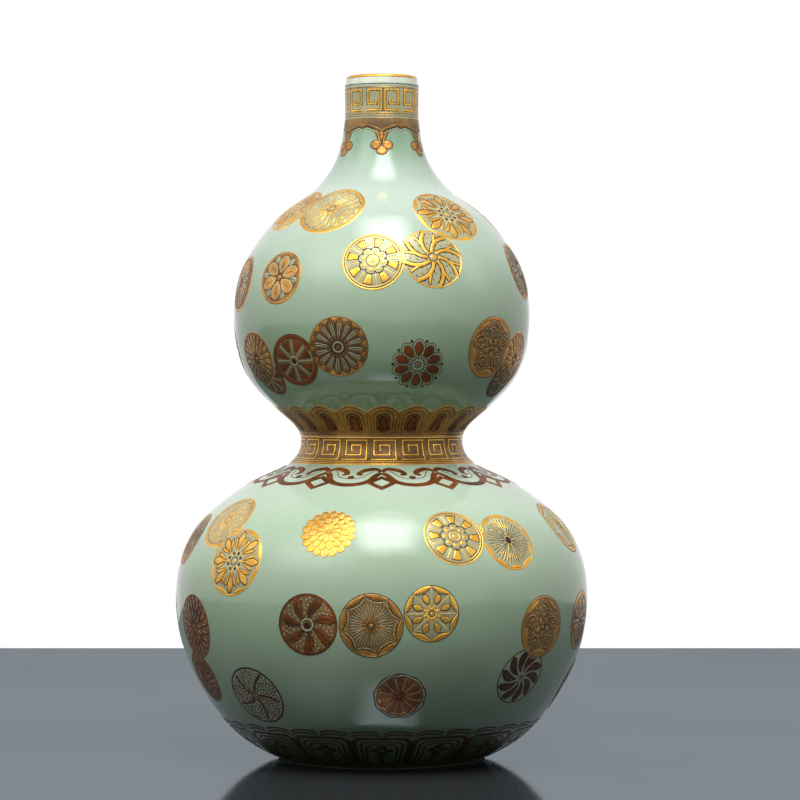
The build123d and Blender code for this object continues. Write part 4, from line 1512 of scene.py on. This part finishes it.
@dataclass
class Bands:
    """The painted bands of the lip, the neck, the waist and the foot."""

    wall: Wall
    shape: PotShape
    palette: Palette
    neck_fret_cells: int = 12
    neck_fret_levels: Pair = (302.4, 312.9)
    pendants: int = 6
    ruyi_band_levels: Pair = (294.6, 300.4)
    petals: int = 20
    petal_levels: Pair = (153.0, 165.8)
    waist_fret_cells: int = 18
    waist_fret_levels: Pair = (140.9, 149.9)
    scrolls: int = 12
    collar_level: float = 133.0
    panels: int = 16
    panel_levels: Pair = (3.0, 17.6)
    foot_line_level: float = 18.9
    line_steps: int = 240
    wash_steps: int = 256
    wash_edge: float = 0.1
    wash_inset: float = 0.3
    path_step: float = 1.6
    lip_film: float = 0.24
    lip_seat: float = 0.3

    def cell_width(self, level: float, count: int) -> float:
        """The width of one of several equal cells round the wall at a level."""
        return 2 * math.pi * float(self.wall.line.radius_at(level)) / count

    def lay_strip(self, relief: Relief, level: float, up: Grid, rises: Sequence[float], ink: Ink,
                  steps: int, tone: Tone | None) -> None:
        """A strip all round the wall: a profile of distances up and of rises, repeated at equal steps."""
        across = np.linspace(0.0, self.cell_width(level, 1), steps, endpoint=False)
        grid = np.stack(np.broadcast_arrays(across[:, None], up, np.array(rises)), axis=-1)
        relief.lay([Mark(grid[None], ink, closed=True)], lambda g: self.wall.wrap(0.0, level, g), tone)

    def round_line(self, relief: Relief, level: float, width: float, tone: Tone) -> None:
        """A plain line round the wall."""
        up = width * np.array([-0.5, -0.25, 0.25, 0.5])
        self.lay_strip(relief, level, up, [SINK, LINE_RISE, LINE_RISE, SINK], MAIN, self.line_steps, tone)

    def round_wash(self, relief: Relief, low: float, high: float, tone: Tone | None = None) -> None:
        """A thin wash round the wall between two levels."""
        reach = self.wall.line.run_between(low, high)
        edge, inset = self.wash_edge, self.wash_inset
        middle = np.linspace(inset, reach - inset, max(3, int(reach)))
        up = np.concatenate([[0.0, edge], middle, [reach - edge, reach]])
        rises = [SINK] + [WASH_RISE] * (len(up) - 2) + [SINK]
        self.lay_strip(relief, low, up, rises, THIN, self.wash_steps, tone)

    def lay_cells(self, relief: Relief, marks: Marks, level: float, count: int, first: float = 0.0,
                  tone: Tone | None = None) -> None:
        """Copies of a cell's marks all round the wall, one cell's width apart."""
        width = self.cell_width(level, count)
        steps = np.arange(count)[:, None, None, None, None] * width
        copied = []
        for mark in marks:
            grid = np.repeat(mark.grid[None], count, axis=0)
            grid[..., 0:1] += steps
            copied.append(replace(mark, grid=grid.reshape(-1, *mark.grid.shape[1:])))
        relief.lay(copied, lambda g: self.wall.wrap(first, level, g, count, width), tone)

    def fine_steps(self, path: Grid) -> Grid:
        """A path of straight runs with points added along each, so that it follows the wall."""
        runs = []
        for start, end in zip(path, path[1:]):
            count = max(2, int(np.linalg.norm(end - start) / self.path_step) + 1)
            runs.append(np.linspace(start, end, count)[:-1])
        return np.concatenate([*runs, path[-1:]])

    def trefoil(self, top: Triple, side: Triple, points: int) -> list[Grid]:
        """The outlines of three round dabs from the across, up and size of one and of one beside it."""
        across, up, size = side
        dabs = (top, (-across, up, size), side)
        return [np.array([x, y]) + polar(reach, full_turn(points)) for x, y, reach in dabs]

    def both_sides(self, points: Sequence[Pair], count: int) -> list[Grid]:
        """The smooth path through a few points of the right side, mirrored on the left and as it is."""
        return [through(np.array(points) * np.array([side, 1.0]), count) for side in (-1, 1)]

    def build_lip(self) -> None:
        """The gold brushed over the crest of the lip: the crest's arc, a film's thickness outward."""
        middle, radius, half = self.shape.crest()
        at = np.linspace(half * 1.02, -half, 11)
        way = np.stack([np.sin(at), np.cos(at)], axis=-1)
        film = self.lip_film * np.sin(np.pi * np.linspace(0.0, 1.0, 11)) ** 0.4
        over = middle + (radius + film)[:, None] * way
        under = middle + (radius - self.lip_seat) * way[::-1]
        gold = [self.palette.coats[Coat.BRIGHT_GOLD]]
        piece = turned_piece("lip_gold_line", np.concatenate([over, under]), gold, count=192)
        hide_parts("gilt_lip_line")

    def build_neck_fret(self) -> None:
        """Square hooks that face each other in pairs, between plain lines, and the line under the lip."""
        relief = Relief("neck_key_fret", Tone.OUTLINED)
        low, high = self.neck_fret_levels
        self.round_wash(relief, low - 0.8, high + 0.6)
        width, height = self.cell_width(low, self.neck_fret_cells), high - low
        hook = ((-0.50, 0.05), (0.40, 0.05), (0.40, 0.95), (-0.30, 0.95), (-0.30, 0.32), (0.14, 0.32),
                (0.14, 0.66))
        path = self.fine_steps(np.array(hook) * np.array([width, height]))
        gold = stroke(path, 1.25, MAIN)
        edge = stroke(path, 2.3, LINE, rise=0.06)
        pair = [mark.shifted(-width / 2, 0.0) for mark in (edge, gold)]
        pair += [mark.mirrored().shifted(width / 2, 0.0) for mark in (edge, gold)]
        self.lay_cells(relief, pair, low, self.neck_fret_cells // 2, first=2.0)
        self.round_line(relief, high + 0.75, 0.7, Tone.OLD)
        self.round_line(relief, low - 0.95, 0.6, Tone.OLD)
        self.round_line(relief, self.shape.lip_level - self.shape.lip_band_drop, 0.7, Tone.DARK)
        relief.build(self.palette.coats, "gilt_neck_fret")

    def build_neck_pendants(self) -> None:
        """A band with a bracketed lower edge, from which trefoil ruyi heads hang on paired stems.

        The edge climbs from the middle of a cell by the share of the way out to 0.55, and a bell curve dips
        it where two cells meet.
        """
        relief = Relief("neck_ruyi_pendants", Tone.OLD)
        low, high = self.ruyi_band_levels
        width = self.cell_width(low, self.pendants)
        share = np.linspace(-0.5, 0.5, 41)
        away = np.abs(share) * 2
        sag, climb, dip, dip_width, lift = 3.0, 0.9, 1.5, 0.12, 0.3
        bell = np.exp(-(((1 - away) / dip_width) ** 2))
        lower = -sag * (1 - away**0.55) + climb * away - dip * bell + lift
        top = np.full(len(share), high - low - 1.3)
        across = share * width
        edge = np.stack([across, lower], axis=-1)
        marks = [
            sheet(edge, np.stack([across, top], axis=-1), THIN, WASH_RISE + 0.02),
            stroke(edge, 0.75, LINE),
            stroke(edge + np.array([0.0, 1.1]), 0.5, MAIN),
            stroke(edge - np.array([0.0, 1.1]), 0.35, MAIN),
        ]
        for rim in self.trefoil((0.0, -10.9, 2.3), (2.6, -8.3, 2.2), 20):
            marks += [fill(rim, MAIN), stroke(rim, 0.5, LINE, closed=True)]
        for stem in self.both_sides([(2.9, -1.0), (1.9, -3.2), (1.1, -5.6), (0.7, -8.4)], 12):
            marks += [stroke(stem, 1.9, LINE, rise=0.09), stroke(stem, 1.3, MAIN, rise=0.13)]
        drop = petal_outline(0.0, 5.0, 0.9, 1, 180.0, 1.0)[0] + np.array([0.0, -1.4])
        marks += [fill(drop, MAIN, 0.12), stroke(drop, 0.3, LINE, closed=True, rise=0.14)]
        self.lay_cells(relief, marks, low, self.pendants)
        self.round_line(relief, high, 0.5, Tone.OLD)
        self.round_line(relief, high - 1.2, 0.5, Tone.OLD)
        relief.build(self.palette.coats, "gilt_neck_pendants")

    def arch(self, half: float, foot: float, shoulder: float, top: float) -> Grid:
        """A round-topped lappet: straight sides from the foot to the shoulder, then half an ellipse."""
        at = np.linspace(-np.pi / 2, np.pi / 2, 15)
        crown = np.stack([half * np.sin(at), shoulder + (top - shoulder) * np.cos(at)], axis=-1)
        rise = np.linspace(foot, shoulder, 5)[:-1]
        left = np.stack([np.full(4, -half), rise], axis=-1)
        right = np.stack([np.full(4, half), rise[::-1]], axis=-1)
        return np.concatenate([left, crown, right])

    def build_petal_collar(self) -> None:
        """A row of lappets above the waist: a double bow over each, nested arches and a red-brown heart."""
        relief = Relief("waist_petal_collar", Tone.OUTLINED)
        low, high = self.petal_levels
        reach = self.wall.line.run_between(low, high)
        width = self.cell_width(low, self.petals)
        self.round_wash(relief, low - 1.2, high - 4.2, Tone.OLD)
        half = width / 2
        crown = sheet(bow((-half, reach * 0.50), (half, reach * 0.50), 0.0, 13),
                      bow((-half, reach * 0.72), (half, reach * 0.72), reach * 0.26, 13), THIN,
                      WASH_RISE + 0.01)
        arches = [(0.78, 0.84, 0.32), (0.56, 0.73, 0.29), (0.37, 0.62, 0.28)]
        gold = [
            stroke(bow((-half, reach * 0.73), (half, reach * 0.73), reach * 0.26, 13), 0.48, MAIN),
            stroke(bow((-half, reach * 0.62), (half, reach * 0.62), reach * 0.27, 13), 0.30, MAIN),
            stroke(np.array([(half, 0.2), (half, reach * 0.3), (half, reach * 0.62)]), 0.34, MAIN),
        ]
        gold += [stroke(self.arch(half * side, 0.2, reach * (top - 0.25), reach * top), line, MAIN)
                 for side, top, line in arches]
        shade = fill(self.arch(half * 0.50, 0.4, reach * 0.45, reach * 0.70), LINE, WASH_RISE + 0.02)
        heart = fill(self.arch(half * 0.24, 0.4, reach * 0.36, reach * 0.54), MAIN, LINE_RISE)
        for marks, tone in (([crown, shade], Tone.OLD), (gold, None), ([heart], Tone.DARK)):
            self.lay_cells(relief, marks, low, self.petals, first=1.0, tone=tone)
        for level, line in ((low - 0.3, 0.7), (low - 1.4, 0.5)):
            self.round_line(relief, level, line, Tone.OLD)
        relief.build(self.palette.coats, "gilt_petal_collar")

    def build_waist_fret(self) -> None:
        """Square spirals one after another on a brown wash, between double lines."""
        relief = Relief("waist_key_fret", Tone.OUTLINED)
        low, high = self.waist_fret_levels
        start = low - 2.4
        self.round_wash(relief, start, high + 1.2, Tone.OLD)
        width = self.cell_width(low, self.waist_fret_cells)
        reach = self.wall.line.run_between(low, high)
        spiral = (
            (-0.50, 0.03), (0.40, 0.03), (0.40, 0.97), (-0.34, 0.97), (-0.34, 0.28), (0.20, 0.28),
            (0.20, 0.74), (-0.14, 0.74), (-0.14, 0.50), (0.04, 0.50),
        )
        path = self.fine_steps(np.array(spiral) * np.array([width, reach]))
        marks = [stroke(path, 1.5, LINE, rise=0.06), stroke(path, 0.9, MAIN)]
        self.lay_cells(relief, marks, low, self.waist_fret_cells, first=1.5)
        for level, line in ((high + 0.95, 0.6), (low - 0.75, 0.5), (low - 1.6, 0.6), (start + 0.2, 0.6)):
            self.round_line(relief, level, line, Tone.BRIGHT)
        relief.build(self.palette.coats, "gilt_waist_fret")

    def build_shoulder_collar(self) -> None:
        """Ruyi heads joined in a ribbon below the waist: bowed brackets with curled ends, dots and diamonds.

        Places are shares of a cell across and steps of level, which over the climb become distances.
        """
        relief = Relief("shoulder_ruyi_collar", Tone.DARK)
        _, climb = self.wall.line.direction_at(self.collar_level)
        cell = np.array([self.cell_width(self.collar_level, self.scrolls), 1.0 / climb])
        right = [(0.17, -2.4), (0.31, -1.2), (0.40, 0.9), (0.5, 2.2)]
        bracket = through(np.array([(-x, z) for x, z in right[::-1]] + right) * cell, 40)
        inner = bracket * np.array([0.72, 0.66]) + np.array([0.0, 3.4])
        marks: Marks = [stroke(bracket, 3.5, MAIN), stroke(inner, 0.5, LINE)]
        curl_points = ((0.5, 2.5), (0.42, 3.5), (0.26, 3.4), (0.14, 2.6), (0.11, 1.6), (0.19, 1.2))
        swell = np.interp(np.linspace(0, 1, 26), [0.0, 0.3, 0.62, 0.85, 1.0], [2.6, 3.3, 3.8, 3.2, 1.8])
        for curl in self.both_sides(np.array(curl_points) * cell, len(swell)):
            marks.append(stroke(curl, swell, MAIN, rise=0.12))
        dot = polar(1.7, full_turn(16)) + np.array([0.0, 0.5])
        marks.append(fill(dot, MAIN))
        corners = np.array([(0.0, 5.0), (5.3, 0.0), (0.0, -5.0), (-5.3, 0.0), (0.0, 5.0)])
        diamond = self.fine_steps(corners)[:-1]
        middle = np.array([0.5, -1.9]) * cell
        marks.append(stroke(diamond + middle, 2.7, MAIN, closed=True, rise=0.14))
        self.lay_cells(relief, marks, self.collar_level, self.scrolls, first=180.0 / self.scrolls)
        relief.build(self.palette.coats, "gilt_shoulder_collar")

    def build_foot_panels(self) -> None:
        """A double scalloped line over upright lappet panels, each with nested lines and a ruyi head."""
        # The scallops and panels are all in iron brown, partly their own colour and partly painted shade at
        # the foot.
        relief = Relief("foot_lappet_panels", Tone.DARK)
        low, high = self.panel_levels
        line, reach = self.foot_line_level, self.wall.line.run_between(low, high)
        step = self.cell_width(line, self.panels * 2)
        bows = [bow((-step / 2, lift), (step / 2, lift), 1.5, 9) for lift in (-1.3, 0.5)]
        self.lay_cells(relief, [stroke(path, 1.3, LINE) for path in bows], line, self.panels * 2,
                       first=5.6)
        width = self.cell_width(low, self.panels)
        marks: Marks = []
        for inset, line_width in ((0.9, 2.1), (3.1, 1.2), (4.9, 1.1)):
            side = width / 2 - inset
            corners = [(-side, 0.2), (-side, reach - inset - 2.2), (-side + 2.0, reach - inset),
                       (side - 2.0, reach - inset), (side, reach - inset - 2.2), (side, 0.2)]
            marks.append(stroke(self.fine_steps(np.array(corners)), line_width, LINE))
        crest = reach * 0.60
        marks += [fill(rim, LINE) for rim in self.trefoil((0.0, crest + 2.6, 2.0), (2.5, crest, 1.8), 16)]
        for stem in self.both_sides([(0.5, crest - 0.6), (1.4, crest - 4.0), (2.8, crest - 6.4)], 10):
            marks.append(stroke(stem, 1.4, LINE))
        marks.append(fill(petal_outline(0.6, crest - 2.0, 1.0, 1, 0.0, 1.2)[0], LINE))
        self.lay_cells(relief, marks, low, self.panels, tone=Tone.DARK)
        self.round_line(relief, low - 0.1, 1.2, Tone.DARK)
        relief.build(self.palette.coats, "gilt_foot_panels")

    def build(self) -> None:
        """Paints every band."""
        self.build_lip()
        self.build_neck_fret()
        self.build_neck_pendants()
        self.build_petal_collar()
        self.build_waist_fret()
        self.build_shoulder_collar()
        self.build_foot_panels()


@dataclass(frozen=True)
class Softbox:
    """A soft lamp that faces the vase and fades towards its edges, as a diffuser does.

    Args:
        name: the lamp's name.
        place: where it stands, in metres.
        size: its width and height, in metres.
        watts: its power.
        edge: the share of its width over which it fades on each side.
    """

    name: str
    place: Triple
    size: Pair
    watts: float
    edge: float

    def build(self, target: Triple) -> None:
        """Makes the lamp and turns it to its target."""
        data = bpy.data.lights.new(self.name, "AREA")
        data.shape = "RECTANGLE"
        data.size, data.size_y = self.size
        data.energy = self.watts
        data.use_nodes = True
        tree = Tree(data.node_tree)
        place = tree.add("ShaderNodeNewGeometry").outputs["Parametric"]
        where = tree.add("ShaderNodeSeparateXYZ", {0: place})
        fades = []
        for axis in ("X", "Y"):
            off = tree.math("ABSOLUTE", tree.math("SUBTRACT", where.outputs[axis], 0.5))
            fades.append(tree.spread(off, 0.5, 0.5 - self.edge))
        tree.feed(data.node_tree.nodes["Emission"], {"Strength": tree.math("MULTIPLY", *fades)})
        lamp = bpy.data.objects.new(self.name, data)
        lamp.location = self.place
        towards = Vector(target) - Vector(self.place)
        lamp.rotation_euler = towards.to_track_quat("-Z", "Y").to_euler()
        bpy.context.scene.collection.objects.link(lamp)


@dataclass
class Studio:
    """A plain polished table, soft lamps and the camera of the photograph, in metres."""

    table_back: float = 0.59
    table_front: float = -2.4
    table_half_width: float = 2.4
    table_colour: Colour = (40, 42, 44)
    table_sheen: Colour = (126, 133, 139)
    table_cloud: Colour = (120, 127, 133)
    table_roughness: float = 0.08
    sky_light: Pair = (0.07, 0.42)
    camera_place: Triple = (0.0, -1.45, 0.177)
    camera_lens: float = 138.7
    camera_shift: Pair = (0.0228, -0.0241)
    lamp_target: Triple = (0.0, 0.0, 0.17)
    softboxes: tuple[Softbox, ...] = (
        Softbox("overhead_softbox", (0.05, -0.42, 1.03), (0.62, 0.98), 18.0, 0.30),
        Softbox("left_front_softbox", (-0.62, -0.62, 0.95), (1.3, 1.2), 12.0, 0.4),
        Softbox("left_softbox", (-1.20, 0.20, 0.75), (0.9, 1.1), 3.0, 0.4),
        Softbox("right_softbox", (1.25, -0.15, 0.85), (0.8, 1.1), 2.8, 0.4),
    )

    def direct_rays(self, tree: Tree) -> Socket:
        """One for rays that the camera or a mirroring surface sends, and nought for the others."""
        seen = tree.add("ShaderNodeLightPath")
        return tree.math("MAXIMUM", seen.outputs["Is Camera Ray"], seen.outputs["Is Glossy Ray"])

    def build_table(self) -> None:
        """The table top, dark and polished, which mirrors the background and the foot of the vase."""
        half = self.table_half_width
        corners = [(x, y, 0.0) for y in (self.table_front, self.table_back) for x in (-half, half)]
        mesh = bpy.data.meshes.new("table")
        mesh.from_pydata(corners, [], [(0, 1, 3, 2)])
        table = bpy.data.objects.new("table", mesh)
        bpy.context.scene.collection.objects.link(table)
        material, tree, principled, where = new_material("polished_table")
        nodes = material.node_tree.nodes
        nodes.remove(principled)
        cloud = tree.noise(where, 6.0, 4.0, 0.6)
        sheen = tree.mix(tree.spread(cloud, 0.3, 0.7), linear(*self.table_sheen), linear(*self.table_cloud))
        sheen = tree.mix(self.direct_rays(tree), linear(*self.table_colour), sheen)
        matt = tree.add("ShaderNodeBsdfDiffuse", {"Color": linear(*self.table_colour)})
        mirror = tree.add("ShaderNodeBsdfGlossy", {"Color": sheen, "Roughness": self.table_roughness})
        both = tree.add("ShaderNodeAddShader", {0: matt.outputs[0], 1: mirror.outputs[0]})
        tree.feed(nodes["Material Output"], {"Surface": both.outputs[0]})
        mesh.materials.append(material)

    def build_world(self) -> None:
        """A white background that lights the vase mostly from above, by the height of the direction."""
        world = bpy.data.worlds.new("studio")
        world.use_nodes = True
        bpy.context.scene.world = world
        tree = Tree(world.node_tree)
        way = tree.add("ShaderNodeTexCoord").outputs["Generated"]
        height = tree.add("ShaderNodeSeparateXYZ", {0: way}).outputs["Z"]
        seen = tree.add("ShaderNodeLightPath").outputs["Is Transmission Ray"]
        direct = tree.math("MAXIMUM", self.direct_rays(tree), seen)
        light = tree.math("MAXIMUM", direct, tree.spread(height, -0.1, 1.0, *self.sky_light))
        tree.feed(world.node_tree.nodes["Background"], {"Strength": light, "Color": (1.0, 1.0, 1.0, 1.0)})

    def build_camera(self) -> None:
        """The photograph's view: level, in front of the axis, and framed by the shift."""
        data = bpy.data.cameras.new("camera")
        data.sensor_width = 36.0
        data.lens = self.camera_lens
        data.shift_x, data.shift_y = self.camera_shift
        data.clip_start, data.clip_end = 0.05, 50.0
        camera = bpy.data.objects.new("camera", data)
        camera.location = self.camera_place
        camera.rotation_euler = (math.pi / 2, 0.0, 0.0)
        bpy.context.scene.collection.objects.link(camera)
        bpy.context.scene.camera = camera

    def build(self) -> None:
        """Sets up the studio."""
        bpy.context.scene.view_settings.view_transform = "Standard"
        self.build_table()
        self.build_world()
        self.build_camera()
        for softbox in self.softboxes:
            softbox.build(self.lamp_target)


def main() -> None:
    """Dresses the vase piece by piece."""
    logging.basicConfig(level=logging.INFO, format="%(message)s")
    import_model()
    shape = PotShape()
    palette = Palette()
    pot = GlazedPot(shape, palette)
    pot.build()
    wall = Wall(pot.outside)
    Bands(wall, shape, palette).build()
    Roundels(wall, palette).build()
    Studio().build()


if __name__ == "__main__":
    main()
